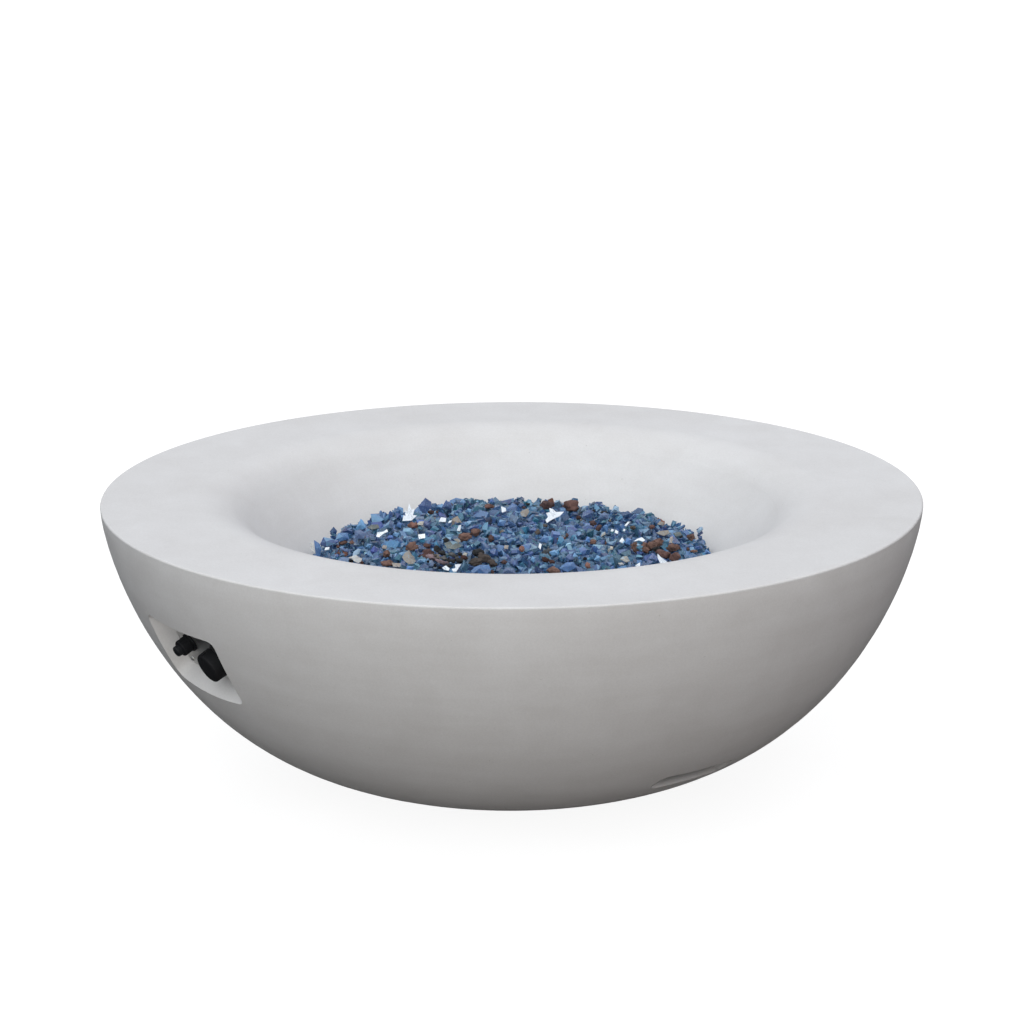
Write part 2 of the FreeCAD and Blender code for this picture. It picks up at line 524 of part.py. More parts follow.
button = revolve(
    rz([(0, FLANGE_Z - 3.0), (4.0, FLANGE_Z - 3.0), (4.0, FLANGE_Z), (8.6, FLANGE_Z), (8.6, FLANGE_Z + 1.8), (BUTTON_R, FLANGE_Z + 1.8), (BUTTON_R, bt - 2.6)])
    + [arc3((BUTTON_R, bt - 2.6), (BUTTON_R - 0.6, bt - 1.2), (BUTTON_R - 2.0, bt - 0.6))]
    + [dome(BUTTON_R - 2.0, bt - 0.6, bt)]
    + rz([(0, bt), (0, FLANGE_Z - 3.0)]))
button.translate(V(IGN_X, IGN_Y, 0))
save("igniter_button", on_plate(button))

# ---------------------------------------------------------------- control plate
plate = rounded_plate(PLATE_W / 2, PLATE_H / 2, PLATE_R, -PLATE_T, 0)
plate = plate.cut(cyl(10.2, 4, (KNOB_X, KNOB_Y, -3))).cut(cyl(9.7, 4, (IGN_X, IGN_Y, -3)))
for x, y in plate_screw_xy:
    plate = plate.cut(cyl(2.3, 4, (x, y, -3)))
top = [e for e in plate.Edges if abs(e.BoundBox.ZMin) < 1e-6 and abs(e.BoundBox.ZMax) < 1e-6 and
       (abs(e.BoundBox.XMin) > 52 or abs(e.BoundBox.XMax) > 52 or e.BoundBox.YMax > 39 or e.BoundBox.YMin < -39) and e.Length > 15.0]
try:
    plate = plate.makeChamfer(0.3, top)
except Exception as err:
    print("plate chamfer skipped", err)
save("control_plate", on_plate(plate))
ps = pan_head_screw(2.0, 3.8, 2.3, 12.5)
group("control_plate_screws", [on_plate(place(ps, (x, y, 0), (0, 0, 1))) for x, y in plate_screw_xy])

# ---------------------------------------------------------------- gas inlet behind the hose slot
BX = 205.0
bracket = box(BX, -26, FOOT_H + WALL, BX + 2, 26, 96).fuse(box(164, -26, FOOT_H + WALL, BX + 2, 26, FOOT_H + WALL + 2))
for s in (-1, 1):
    gusset = Part.Face(Part.makePolygon([V(BX, s * 25, FOOT_H + WALL + 2), V(BX - 22, s * 25, FOOT_H + WALL + 2), V(BX, s * 25, 50), V(BX, s * 25, FOOT_H + WALL + 2)])).extrude(V(0, -s * 1.5, 0))
    bracket = bracket.fuse(gusset)
bracket = bracket.cut(cyl(7.1, 6, (BX - 2, 0, INLET_Z), (1, 0, 0)))
for x, y in bracket_xy:
    bracket = bracket.cut(cyl(2.3, 6, (x, y, FOOT_H + WALL - 1)))
bracket = bracket.removeSplitter()
save("inlet_bracket", bracket)
isc = pan_head_screw(2.0, 4.0, 2.4, 9.5)
group("inlet_bracket_screws", [place(isc, (x, y, FOOT_H + WALL + 2), (0, 0, 1)) for x, y in bracket_xy])
fit = lathe([(4.0, -18), (7.0, -18), (7.0, 10.0), (FLARE_R, 10.0), (FLARE_R, 26.0), (4.8, 31.0), (4.0, 31.0)])
fit = fit.fuse(hexa(22, 6, 2.1).cut(cyl(6.9, 8, (0, 0, 1)))).removeSplitter()
save("gas_inlet_fitting", place(fit, (BX, 0, INLET_Z), (1, 0, 0)))
iln = hexa(22, 5).cut(cyl(7.05, 7, (0, 0, -1)))
save("inlet_locknut", place(iln, (BX - 5.1, 0, INLET_Z), (1, 0, 0)))

# flare nuts: drawn along +Z from the joint's male shoulder, 16 long
flare_nut = hexa(17, 16).cut(cyl(7.05, 8.05, (0, 0, -1))).cut(cyl(HOSE_R + 0.05, 20, (0, 0, 1)))
flare_nut = flare_nut.common(lathe([(0, 0), (9.2, 0), (9.9, 0.8), (9.9, 12.0), (6.6, 16.0), (0, 16.0)]))

v_in, v_out = at(KNOB_X + 23, KNOB_Y, GAS_H), at(KNOB_X, KNOB_Y - 22, GAS_H)
S_in = (BX - 18.0, 0.0, INLET_Z)
j_start = (0.0, -29.0, ez)
down = (-U.x, -U.y, -U.z)
group("inlet_hose_nuts", [place(flare_nut, (BX - 11.0, 0, INLET_Z), (-1, 0, 0)), place(flare_nut, at(KNOB_X + 16, KNOB_Y, GAS_H), (1, 0, 0))])
group("feed_hose_nuts", [place(flare_nut, (0, -22.0, ez), (0, -1, 0)), place(flare_nut, at(KNOB_X, KNOB_Y - 15, GAS_H), down)])

save("inlet_hose", run([S_in, (132, 0, INLET_Z), (94, -40, 79), (91, -100, 78), (108, -168, 86), (133, -238, 106),
                        (152, -302, 138), (160, -356, 180), (157, -399, 223), (118, v_in[1], v_in[2]), v_in], HOSE_R, 3.2, "inlet_hose"))
p1 = (v_out[0], v_out[1] - U.y * 58, v_out[2] - U.z * 58)
save("burner_feed_hose", run([v_out, p1, (37, -345, 128), (28, -277, 101), (17, -200, 90), (6, -122, 88), (0, -62, ez), j_start], HOSE_R, 3.2, "burner_feed_hose"))

# ---------------------------------------------------------------- ignition electrode and thermocouple
save("electrode_insulator", lathe([(1.3, 186), (3.5, 186), (3.5, 204), (4.2, 206), (4.2, 212), (3.5, 214), (3.5, 240), (2.2, 242), (1.3, 242)]).translated(V(-PX, PY, 0)))
rod = run([(0, 0, 188), (0, 0, 246), (0, 4, 252), (1, 10, 256)], 1.2, 0.0, "electrode_rod")
save("electrode_rod", rod.translated(V(-PX, PY, 0)))
save("thermocouple_probe", revolve(rz([(0, 188), (2.5, 188), (2.5, 252)]) + [dome(2.5, 252, 254.4)] + rz([(0, 254.5), (0, 188)])).translated(V(PX, PY, 0)))
eb = box(-32, PY - 11, PAN_Z + PAN_T, 32, PY + 9, PAN_Z + PAN_T + 1.5)
eb = eb.fuse(box(-22, PY + 7.5, PAN_Z + PAN_T, 22, PY + 9, 232)).fuse(box(-22, PY - 6, 230.5, 22, PY + 9, 232))
for x, r in ((-PX, 4.6), (PX, 4.6), (-25.0, 2.2), (25.0, 2.2)):
    eb = eb.cut(cyl(r, 6, (x, PY, PAN_Z)))
eb = eb.cut(cyl(3.6, 6, (-PX, PY, 228))).cut(cyl(2.6, 6, (PX, PY, 228))).removeSplitter()
save("electrode_bracket", eb)
bsw = pan_head_screw(2.0, 3.8, 2.3, 9.0)
group("bracket_screws", [place(bsw, (x, PY, PAN_Z + PAN_T + 1.5), (0, 0, 1)) for x in (-25, 25)])
bn = hexa(7, 3.2).cut(cyl(2.05, 6, (0, 0, -1)))
group("bracket_nuts", [place(bn, (x, PY, PAN_Z - 3.3), (0, 0, 1)) for x in (-25, 25)])
i_end = at(IGN_X, IGN_Y, -62.0)
i_out = at(IGN_X, IGN_Y, -88.0)
save("ignition_lead", run([i_end, i_out, (-28, -351, 278), (-27, -322, 256), (-26, -298, 226), (-24, -270, 198), (-21, -238, 178), (-17, -211, 165),
                           (-14.5, -193, 159), (-PX, PY, 168), (-PX, PY, 186)], LEAD_R, 0.0, "ignition_lead"))
save("lead_boot", lathe([(2.05, 176), (3.4, 176), (4.6, 184), (4.6, 198), (3.55, 198), (3.55, 186), (2.05, 186)]).translated(V(-PX, PY, 0)))
t_end = at(KNOB_X, KNOB_Y, -52.0)
t_out = at(KNOB_X, KNOB_Y, -78.0)
save("thermocouple_lead", run([t_end, t_out, (39.5, -358, 267), (38, -329, 247), (35, -303, 219), (31, -272, 193), (26, -240, 174), (20, -212, 162),
                               (15.5, -193, 158), (PX, PY, 169), (PX, PY, 188)], PROBE_LEAD_R, 0.0, "thermocouple_lead"))

# ---------------------------------------------------------------- loose fill
bed = lathe([(0, PAN_Z + PAN_T), (215.0, PAN_Z + PAN_T), (221.0, PAN_Z + 4.0), (222.8, PAN_Z + 9.5), (226.4, 240), (0, 240)])
clear = Part.makeTorus(RING_R, TUBE_R + 1, V(0, 0, RING_Z)).fuse(
    [cyl(TUBE_R + 1, 2 * RING_R, (-RING_R, 0, RING_Z), (1, 0, 0)), cyl(22.0, 42.0, (0, 0, 200.0)), box(-34, PY - 13, 199, 34, PY + 11, 241)])
bed = bed.cut(clear)
print("lava_rock solids", [round(s.Volume / 1e3) for s in bed.Solids], bed.isValid())
save("lava_rock", Part.makeCompound([s for s in bed.Solids if s.Volume > 1000]))
glass = revolve(
    rz([(0, 240.5), (226.0, 240.5), (229.9, 266.0), (266.6, 266.0), (269.6, 268.0)])
    + [arc3((269.6, 268.0), (258.0, 282.0), (HEAP_R, HEAP_SHOULDER_Z)), dome(HEAP_R, HEAP_SHOULDER_Z, HEAP_TOP_Z)]
    + rz([(0, HEAP_TOP_Z), (0, 240.5)]))
for x in (-PX, PX):
    glass = glass.cut(cyl(5.0, 20, (x, PY, 239.0)))
glass = glass.cut(box(-PX - 4, PY - 4, 239, -PX + 5, PY + 14, 259))
print("fire_glass", len(glass.Solids), glass.isValid(), "litres %.2f" % (glass.Volume / 1e6))
save("fire_glass", glass)
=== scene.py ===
import json
import math

import bmesh
import bpy
import numpy as np
from mathutils import Matrix, Vector, noise


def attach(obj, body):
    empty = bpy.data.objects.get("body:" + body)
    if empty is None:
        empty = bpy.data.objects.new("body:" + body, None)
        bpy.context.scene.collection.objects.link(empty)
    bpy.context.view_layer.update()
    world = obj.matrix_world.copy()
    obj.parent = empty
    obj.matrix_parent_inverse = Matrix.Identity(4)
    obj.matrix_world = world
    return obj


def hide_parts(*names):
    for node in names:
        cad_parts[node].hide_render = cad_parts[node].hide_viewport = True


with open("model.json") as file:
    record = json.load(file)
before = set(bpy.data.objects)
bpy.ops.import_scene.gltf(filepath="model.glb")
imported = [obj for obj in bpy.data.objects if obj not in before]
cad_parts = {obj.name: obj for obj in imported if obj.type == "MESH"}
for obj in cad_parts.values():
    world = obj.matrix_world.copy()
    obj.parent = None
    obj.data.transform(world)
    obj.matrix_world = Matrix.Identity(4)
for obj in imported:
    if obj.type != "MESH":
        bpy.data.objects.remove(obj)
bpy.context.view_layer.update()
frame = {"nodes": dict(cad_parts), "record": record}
nodes = frame["nodes"]
scene = bpy.context.scene
rng = np.random.default_rng(20261124)

# ------------------------------------------------------------------ camera
RIM_Z = 0.36345
AZ, PITCH, ROLL = math.radians(53.4), math.radians(14.3406), math.radians(-0.217)
DIST, FOCAL = 3.7338, 2855.24
CX, CY = 511.6, 490.4          # where the rim's centre falls in a 1024 x 1024 picture
back = Vector((math.sin(AZ) * math.cos(PITCH), -math.cos(AZ) * math.cos(PITCH), math.sin(PITCH)))
eye = Vector((0, 0, RIM_Z)) + back * DIST
cam_data = bpy.data.cameras.new("camera")
cam = bpy.data.objects.new("camera", cam_data)
scene.collection.objects.link(cam)
turn = (-back).to_track_quat("-Z", "Y").to_matrix() @ Matrix.Rotation(ROLL, 3, "Z")
cam.matrix_world = Matrix.Translation(eye) @ turn.to_4x4()
cam_data.sensor_width = 36.0
cam_data.lens = 36.0 * FOCAL / 1024
cam_data.shift_x = (512 - CX) / 1024
cam_data.shift_y = (CY - 512) / 1024
cam_data.clip_start, cam_data.clip_end = 0.05, 200
scene.camera = cam


def pixel_ray(x, y):
    """The direction of the line of sight through a pixel of the 1024 x 1024 picture."""
    d = Vector(((x - CX) / FOCAL, -(y - CY) / FOCAL, -1.0))
    return (turn @ d).normalized()


# ------------------------------------------------------------------ node helpers
def new_material(name):
    m = bpy.data.materials.new(name)
    m.use_nodes = True
    nt = m.node_tree
    bsdf = nt.nodes["Principled BSDF"]
    return m, nt, bsdf


def coords(nt, kind="Object"):
    return nt.nodes.new("ShaderNodeTexCoord").outputs[kind]


def stretch(nt, vector, scale):
    n = nt.nodes.new("ShaderNodeMapping")
    n.inputs["Scale"].default_value = scale
    nt.links.new(vector, n.inputs["Vector"])
    return n.outputs["Vector"]


def tex_noise(nt, vector, scale, detail=4.0, rough=0.55, distortion=0.0):
    n = nt.nodes.new("ShaderNodeTexNoise")
    n.inputs["Scale"].default_value = scale
    n.inputs["Detail"].default_value = detail
    n.inputs["Roughness"].default_value = rough
    n.inputs["Distortion"].default_value = distortion
    nt.links.new(vector, n.inputs["Vector"])
    return n.outputs["Fac"]


def tex_cells(nt, vector, scale, feature="F1", randomness=1.0, out="Distance"):
    n = nt.nodes.new("ShaderNodeTexVoronoi")
    n.feature = feature
    n.inputs["Scale"].default_value = scale
    n.inputs["Randomness"].default_value = randomness
    nt.links.new(vector, n.inputs["Vector"])
    return n.outputs[out]


def ramp(nt, fac, stops, mode="LINEAR"):
    n = nt.nodes.new("ShaderNodeValToRGB")
    n.color_ramp.interpolation = mode
    e = n.color_ramp.elements
    while len(e) < len(stops):
        e.new(0.5)
    for i, (p, c) in enumerate(stops):
        e[i].position = p
        e[i].color = (*c, 1.0) if len(c) == 3 else c
    nt.links.new(fac, n.inputs["Fac"])
    return n.outputs["Color"]


def remap(nt, fac, lo, hi, to_lo, to_hi):
    n = nt.nodes.new("ShaderNodeMapRange")
    n.clamp = True
    for k, v in (("From Min", lo), ("From Max", hi), ("To Min", to_lo), ("To Max", to_hi)):
        n.inputs[k].default_value = v
    nt.links.new(fac, n.inputs["Value"])
    return n.outputs["Result"]


def math_node(nt, op, a, b=None, clamp=False):
    n = nt.nodes.new("ShaderNodeMath")
    n.operation = op
    n.use_clamp = clamp
    for i, v in enumerate((a, b)):
        if v is None:
            continue
        if isinstance(v, (int, float)):
            n.inputs[i].default_value = v
        else:
            nt.links.new(v, n.inputs[i])
    return n.outputs[0]


def mix(nt, fac, a, b, blend="MIX"):
    n = nt.nodes.new("ShaderNodeMix")
    n.data_type = "RGBA"
    n.blend_type = blend
    for key, v in ((0, fac), (6, a), (7, b)):
        if isinstance(v, (int, float)):
            n.inputs[key].default_value = v
        elif isinstance(v, tuple):
            n.inputs[key].default_value = (*v, 1.0)
        else:
            nt.links.new(v, n.inputs[key])
    return n.outputs[2]


def bump(nt, height, strength, distance, normal=None):
    n = nt.nodes.new("ShaderNodeBump")
    n.inputs["Strength"].default_value = strength
    n.inputs["Distance"].default_value = distance
    nt.links.new(height, n.inputs["Height"])
    if normal is not None:
        nt.links.new(normal, n.inputs["Normal"])
    return n.outputs["Normal"]


def plain_finish(name, dark, light, metallic, rough, grain=220.0, grain_depth=0.00006, blotch=22.0, spec=0.5, brushed=None):
    """A moulded, cast, coated or brushed surface: two tones in blotches, fine grain, uneven gloss."""
    m, nt, b = new_material(name)
    v = coords(nt)
    if brushed:
        v2 = stretch(nt, v, brushed)
    else:
        v2 = v
    big = tex_noise(nt, v, blotch, 5.0, 0.6)
    fine = tex_noise(nt, v2, grain, 3.0, 0.6)
    colour = mix(nt, remap(nt, big, 0.3, 0.7, 0.0, 1.0), dark, light)
    colour = mix(nt, 0.18, colour, ramp(nt, fine, [(0.3, tuple(x * 0.6 for x in dark)), (0.7, tuple(min(1, x * 1.25) for x in light))]))
    nt.links.new(colour, b.inputs["Base Color"])
    both = math_node(nt, "ADD", math_node(nt, "MULTIPLY", big, 0.5), math_node(nt, "MULTIPLY", fine, 0.5))
    nt.links.new(remap(nt, both, 0.3, 0.7, rough[0], rough[1]), b.inputs["Roughness"])
    nt.links.new(bump(nt, fine, 0.6, grain_depth), b.inputs["Normal"])
    b.inputs["Metallic"].default_value = metallic
    b.inputs["Specular IOR Level"].default_value = spec
    return m


# ------------------------------------------------------------------ concrete
def concrete():
    m, nt, b = new_material("cast_concrete")
    v = coords(nt)
    cloud = tex_noise(nt, v, 2.3, 4.0, 0.55, 0.3)
    mottle = tex_noise(nt, v, 17.0, 5.0, 0.6, 0.4)
    sand = tex_noise(nt, v, 420.0, 3.0, 0.65)
    streak = tex_noise(nt, stretch(nt, v, (1.0, 1.0, 9.0)), 5.5, 5.0, 0.6, 0.2)
    base = mix(nt, remap(nt, cloud, 0.35, 0.65, 0.0, 1.0), (0.544, 0.530, 0.526), (0.582, 0.570, 0.569))
    base = mix(nt, 0.35, base, ramp(nt, mottle, [(0.32, (0.500, 0.482, 0.466)), (0.55, (0.580, 0.568, 0.556)), (0.75, (0.640, 0.632, 0.622))]))
    base = mix(nt, 0.20, base, ramp(nt, streak, [(0.35, (0.510, 0.490, 0.472)), (0.65, (0.625, 0.615, 0.605))]))
    base = mix(nt, 0.10, base, ramp(nt, sand, [(0.35, (0.40, 0.385, 0.37)), (0.65, (0.72, 0.71, 0.70))]))
    # pin holes left by air at the mould's face: few, small and shallow; they are painted darker, a painted shade inside
    # each, and dented a little by the bump
    cell = tex_cells(nt, v, 95.0)
    which = tex_noise(nt, v, 31.0, 2.0, 0.5)
    pinhole_and_shade = math_node(nt, "MULTIPLY", remap(nt, cell, 0.05, 0.10, 1.0, 0.0), remap(nt, which, 0.62, 0.66, 0.0, 1.0))
    base = mix(nt, math_node(nt, "MULTIPLY", pinhole_and_shade, 0.55), base, (0.33, 0.315, 0.30))
    nt.links.new(base, b.inputs["Base Color"])
    nt.links.new(remap(nt, mottle, 0.3, 0.7, 0.72, 0.88), b.inputs["Roughness"])
    b.inputs["Specular IOR Level"].default_value = 0.35
    n1 = bump(nt, cloud, 0.25, 0.0020)
    n2 = bump(nt, mottle, 0.30, 0.00045, n1)
    n3 = bump(nt, sand, 0.35, 0.00012, n2)
    n4 = bump(nt, math_node(nt, "SUBTRACT", 1.0, pinhole_and_shade), 0.8, 0.0004, n3)
    nt.links.new(n4, b.inputs["Normal"])
    return m


MATERIALS = {
    "concrete": concrete(),
    "plate_steel": plain_finish("satin_control_plate", (0.50, 0.50, 0.49), (0.62, 0.62, 0.61), 0.92, (0.27, 0.34), 120.0, 0.000003, 30.0, brushed=(1.0, 1.0, 6.0)),
    "black_bezel": plain_finish("black_bezel", (0.010, 0.010, 0.011), (0.020, 0.020, 0.021), 0.0, (0.40, 0.55), 900.0, 0.00004, 60.0),
    "black_knob": plain_finish("matte_black_knob", (0.0055, 0.0058, 0.0068), (0.0105, 0.0108, 0.0122), 0.0, (0.62, 0.75), 1400.0, 0.00003, 60.0, spec=0.18),
    "black_plastic": plain_finish("satin_black_plastic", (0.0045, 0.0048, 0.0060), (0.0085, 0.0090, 0.0108), 0.0, (0.60, 0.75), 1200.0, 0.00003, 60.0, spec=0.18),
    "button_plastic": plain_finish("button_black_plastic", (0.0050, 0.0056, 0.0072), (0.0090, 0.0098, 0.0120), 0.0, (0.50, 0.62), 1200.0, 0.00002, 60.0, spec=0.25),
    "stainless": plain_finish("brushed_stainless", (0.46, 0.46, 0.45), (0.60, 0.60, 0.59), 1.0, (0.26, 0.42), 160.0, 0.00003, 14.0, brushed=(1.0, 14.0, 1.0)),
    "zinc_steel": plain_finish("zinc_plated_steel", (0.48, 0.49, 0.51), (0.62, 0.62, 0.63), 1.0, (0.28, 0.46), 500.0, 0.00003, 90.0),
    "brass": plain_finish("machined_brass", (0.52, 0.37, 0.13), (0.70, 0.53, 0.24), 1.0, (0.24, 0.40), 400.0, 0.00003, 70.0),
    "cast_alloy": plain_finish("die_cast_alloy", (0.38, 0.38, 0.39), (0.52, 0.52, 0.53), 0.9, (0.42, 0.60), 600.0, 0.00010, 60.0),
    "gas_hose": plain_finish("rubber_hose", (0.012, 0.012, 0.012), (0.024, 0.024, 0.024), 0.0, (0.46, 0.64), 700.0, 0.00010, 50.0),
    "lead_sleeve": plain_finish("silicone_sleeve", (0.16, 0.020, 0.016), (0.26, 0.040, 0.030), 0.0, (0.42, 0.58), 900.0, 0.00005, 50.0),
    "copper_lead": plain_finish("copper_capillary", (0.42, 0.17, 0.09), (0.62, 0.30, 0.18), 1.0, (0.28, 0.46), 500.0, 0.00004, 60.0),
    "white_ceramic": plain_finish("electrode_ceramic", (0.70, 0.69, 0.64), (0.82, 0.81, 0.77), 0.0, (0.18, 0.34), 500.0, 0.00003, 60.0),
    "battery_can": plain_finish("battery_can", (0.42, 0.42, 0.43), (0.56, 0.56, 0.57), 1.0, (0.22, 0.36), 400.0, 0.00002, 50.0),
    "rubber_foot": plain_finish("moulded_rubber", (0.014, 0.014, 0.014), (0.026, 0.026, 0.026), 0.0, (0.58, 0.78), 600.0, 0.00012, 50.0),
    "seal": plain_finish("fibre_seal", (0.030, 0.029, 0.027), (0.055, 0.053, 0.050), 0.0, (0.70, 0.88), 700.0, 0.00015, 50.0),
}


# ------------------------------------------------------------------ loose fill
def shade(r, g, b):
    """A colour given as it looks on a screen, 0 to 255, as the linear numbers that shaders take."""
    return tuple(c / 12.92 if c <= 0.04045 else ((c + 0.055) / 1.055) ** 2.4 for c in (r / 255, g / 255, b / 255))


def attribute(nt, name):
    n = nt.nodes.new("ShaderNodeAttribute")
    n.attribute_name = name
    return n


def glass_material():
    """Crushed glass: each piece has its own tone, and clouds of lighter and darker glass inside. Each of its facets
    gets its own brightness, which is painted light and shade; specks and the brightest few facets carry a painted
    glint, the darkest few a painted shade, and faces seen at a grazing angle a painted sheen.
    """
    m, nt, b = new_material("crushed_glass")
    tone = attribute(nt, "tone").outputs["Color"]
    facet = attribute(nt, "facet").outputs["Fac"]
    v = coords(nt)
    inner = tex_noise(nt, v, 210.0, 4.0, 0.66, 0.9)
    glint_flecks = tex_noise(nt, v, 520.0, 2.0, 0.5, 0.4)
    # every face of a piece gets its own random brightness: painted light and shade on its facets
    lit = math_node(nt, "ADD", remap(nt, facet, 0.0, 1.0, 0.88, 1.16), remap(nt, inner, 0.28, 0.72, -0.24, 0.26))
    grey = nt.nodes.new("ShaderNodeCombineColor")
    for k in range(3):
        nt.links.new(lit, grey.inputs[k])
    colour = mix(nt, 1.0, tone, grey.outputs[0], "MULTIPLY")
    # light cyan specks and the brightest few faces: painted glints
    colour = mix(nt, remap(nt, glint_flecks, 0.56, 0.70, 0.0, 0.50), colour, shade(126, 176, 208))
    colour = mix(nt, remap(nt, facet, 0.915, 0.940, 0.0, 0.50), colour, shade(140, 186, 216))
    # the darkest few faces: painted shade
    colour = mix(nt, remap(nt, facet, 0.070, 0.095, 0.22, 0.0), colour, shade(50, 74, 120))
    # lighter where a face is seen at a grazing angle: a painted sheen
    sheen_weight = nt.nodes.new("ShaderNodeLayerWeight")
    sheen_weight.inputs["Blend"].default_value = 0.35
    colour = mix(nt, remap(nt, sheen_weight.outputs["Facing"], 0.45, 1.0, 0.0, 0.22), colour, shade(130, 166, 200))
    nt.links.new(colour, b.inputs["Base Color"])
    nt.links.new(remap(nt, inner, 0.3, 0.7, 0.06, 0.20), b.inputs["Roughness"])
    b.inputs["IOR"].default_value = 1.5
    b.inputs["Specular IOR Level"].default_value = 0.5
    b.inputs["Transmission Weight"].default_value = 0.28
    nt.links.new(bump(nt, inner, 0.35, 0.0006), b.inputs["Normal"])
    return m


def mirror_material():
    """Glass chips with a silvered face."""
    m, nt, b = new_material("silvered_glass")
    n = tex_noise(nt, coords(nt), 120.0, 3.0, 0.6, 0.5)
    nt.links.new(ramp(nt, n, [(0.30, (0.46, 0.50, 0.54)), (0.70, (0.72, 0.75, 0.78))]), b.inputs["Base Color"])
    nt.links.new(remap(nt, n, 0.3, 0.7, 0.22, 0.38), b.inputs["Roughness"])
    b.inputs["Metallic"].default_value = 0.55
    nt.links.new(bump(nt, n, 0.15, 0.0002), b.inputs["Normal"])
    return m


def lava_material(name):
    m, nt, b = new_material(name)
    v = coords(nt)
    tone = attribute(nt, "tone").outputs["Color"]
    n = tex_noise(nt, v, 110.0, 5.0, 0.65, 0.3)
    pits_and_shade = tex_cells(nt, v, 360.0)
    big_pits = tex_cells(nt, v, 170.0)
    lit = remap(nt, n, 0.28, 0.72, 0.45, 1.55)
    grey = nt.nodes.new("ShaderNodeCombineColor")
    for k in range(3):
        nt.links.new(lit, grey.inputs[k])
    colour = mix(nt, 1.0, tone, grey.outputs[0], "MULTIPLY")
    # the small pits are painted near black: painted shade inside the pores; they are also dented by the bump
    colour = mix(nt, remap(nt, pits_and_shade, 0.0, 0.30, 0.70, 0.0), colour, (0.012, 0.008, 0.007))
    nt.links.new(colour, b.inputs["Base Color"])
    nt.links.new(remap(nt, n, 0.3, 0.7, 0.80, 0.95), b.inputs["Roughness"])
    b.inputs["Specular IOR Level"].default_value = 0.25
    n1 = bump(nt, big_pits, 0.8, 0.0012)
    n2 = bump(nt, pits_and_shade, 0.8, 0.0007, n1)
    nt.links.new(bump(nt, n, 0.6, 0.0010, n2), b.inputs["Normal"])
    return m


def bed_material():
    m, nt, b = new_material("glass_bed")
    v = coords(nt)
    cell = tex_cells(nt, v, 85.0, out="Color")
    edge = tex_cells(nt, v, 85.0, feature="DISTANCE_TO_EDGE")
    sep = nt.nodes.new("ShaderNodeSeparateColor")
    nt.links.new(cell, sep.inputs["Color"])
    colour = ramp(nt, sep.outputs[0], [(0.0, shade(66, 92, 132)), (0.5, shade(84, 112, 150)), (1.0, shade(108, 140, 174))])
    # darker along the cells' edges: painted shade in the gaps between the pieces; the same edges are dented by the bump
    colour = mix(nt, remap(nt, edge, 0.0, 0.08, 0.75, 0.0), colour, shade(60, 80, 118))
    nt.links.new(colour, b.inputs["Base Color"])
    b.inputs["Roughness"].default_value = 0.35
    nt.links.new(bump(nt, edge, 0.8, 0.004), b.inputs["Normal"])
    return m


# the heap's profile: a low crown and a rounded shoulder that falls to the basin's wall
SHOULDER_R, SHOULDER_Z, TOP_Z = 0.233, 0.291, 0.297
EDGE_R, EDGE_Z, MID_R, MID_Z = 0.2696, 0.268, 0.258, 0.282
CROWN = (SHOULDER_R ** 2 + (TOP_Z - SHOULDER_Z) ** 2) / (2 * (TOP_Z - SHOULDER_Z))


def circle_through(a, b, c):
    d = 2 * (a[0] * (b[1] - c[1]) + b[0] * (c[1] - a[1]) + c[0] * (a[1] - b[1]))
    q = [p[0] ** 2 + p[1] ** 2 for p in (a, b, c)]
    x = (q[0] * (b[1] - c[1]) + q[1] * (c[1] - a[1]) + q[2] * (a[1] - b[1])) / d
    y = (q[0] * (c[0] - b[0]) + q[1] * (a[0] - c[0]) + q[2] * (b[0] - a[0])) / d
    return x, y, math.hypot(a[0] - x, a[1] - y)


ARC_R, ARC_Z, ARC = circle_through((EDGE_R, EDGE_Z), (MID_R, MID_Z), (SHOULDER_R, SHOULDER_Z))


def heap_z(r):
    if r <= SHOULDER_R:
        return TOP_Z - CROWN + math.sqrt(CROWN ** 2 - r * r)
    return ARC_Z + math.sqrt(max(0.0, ARC ** 2 - (min(r, EDGE_R) - ARC_R) ** 2))


profile = []
for k in range(400):
    r = EDGE_R * (k + 0.5) / 400
    slope = (heap_z(r + 2e-4) - heap_z(r - 2e-4)) / 4e-4
    n = math.hypot(1, slope)
    profile.append((r, heap_z(r), -slope / n, 1 / n, r * n))
profile = np.array(profile)
share = np.cumsum(profile[:, 4]) / profile[:, 4].sum()


def on_heap(x, y, lift=0.0):
    """Where the line of sight through a pixel meets the heap of glass."""
    d = pixel_ray(x, y)
    for t in np.arange(DIST - 0.35, DIST + 0.40, 0.0006):
        p = eye + d * float(t)
        r = math.hypot(p.x, p.y)
        if r < EDGE_R and p.z < heap_z(r) + lift:
            return p
    return eye + d * DIST


def pixel(p):
    """The pixel of the 1024 x 1024 picture that a point falls on."""
    d = turn.transposed() @ (Vector(p) - eye)
    return CX - FOCAL * d.x / d.z, CY + FOCAL * d.y / d.z


def hull(points, angle=9):
    """Vertices and outward faces of the convex hull of some points."""
    bm = bmesh.new()
    for p in points:
        bm.verts.new(p)
    bmesh.ops.convex_hull(bm, input=bm.verts)
    loose = [v for v in bm.verts if not v.link_faces]
    bmesh.ops.delete(bm, geom=loose, context="VERTS")
    bmesh.ops.dissolve_limit(bm, angle_limit=math.radians(angle), verts=bm.verts, edges=bm.edges)
    bmesh.ops.recalc_face_normals(bm, faces=bm.faces)
    bm.verts.index_update()
    v = np.array([x.co for x in bm.verts], float)
    f = [[q.index for q in x.verts] for x in bm.faces]
    bm.free()
    return v, f


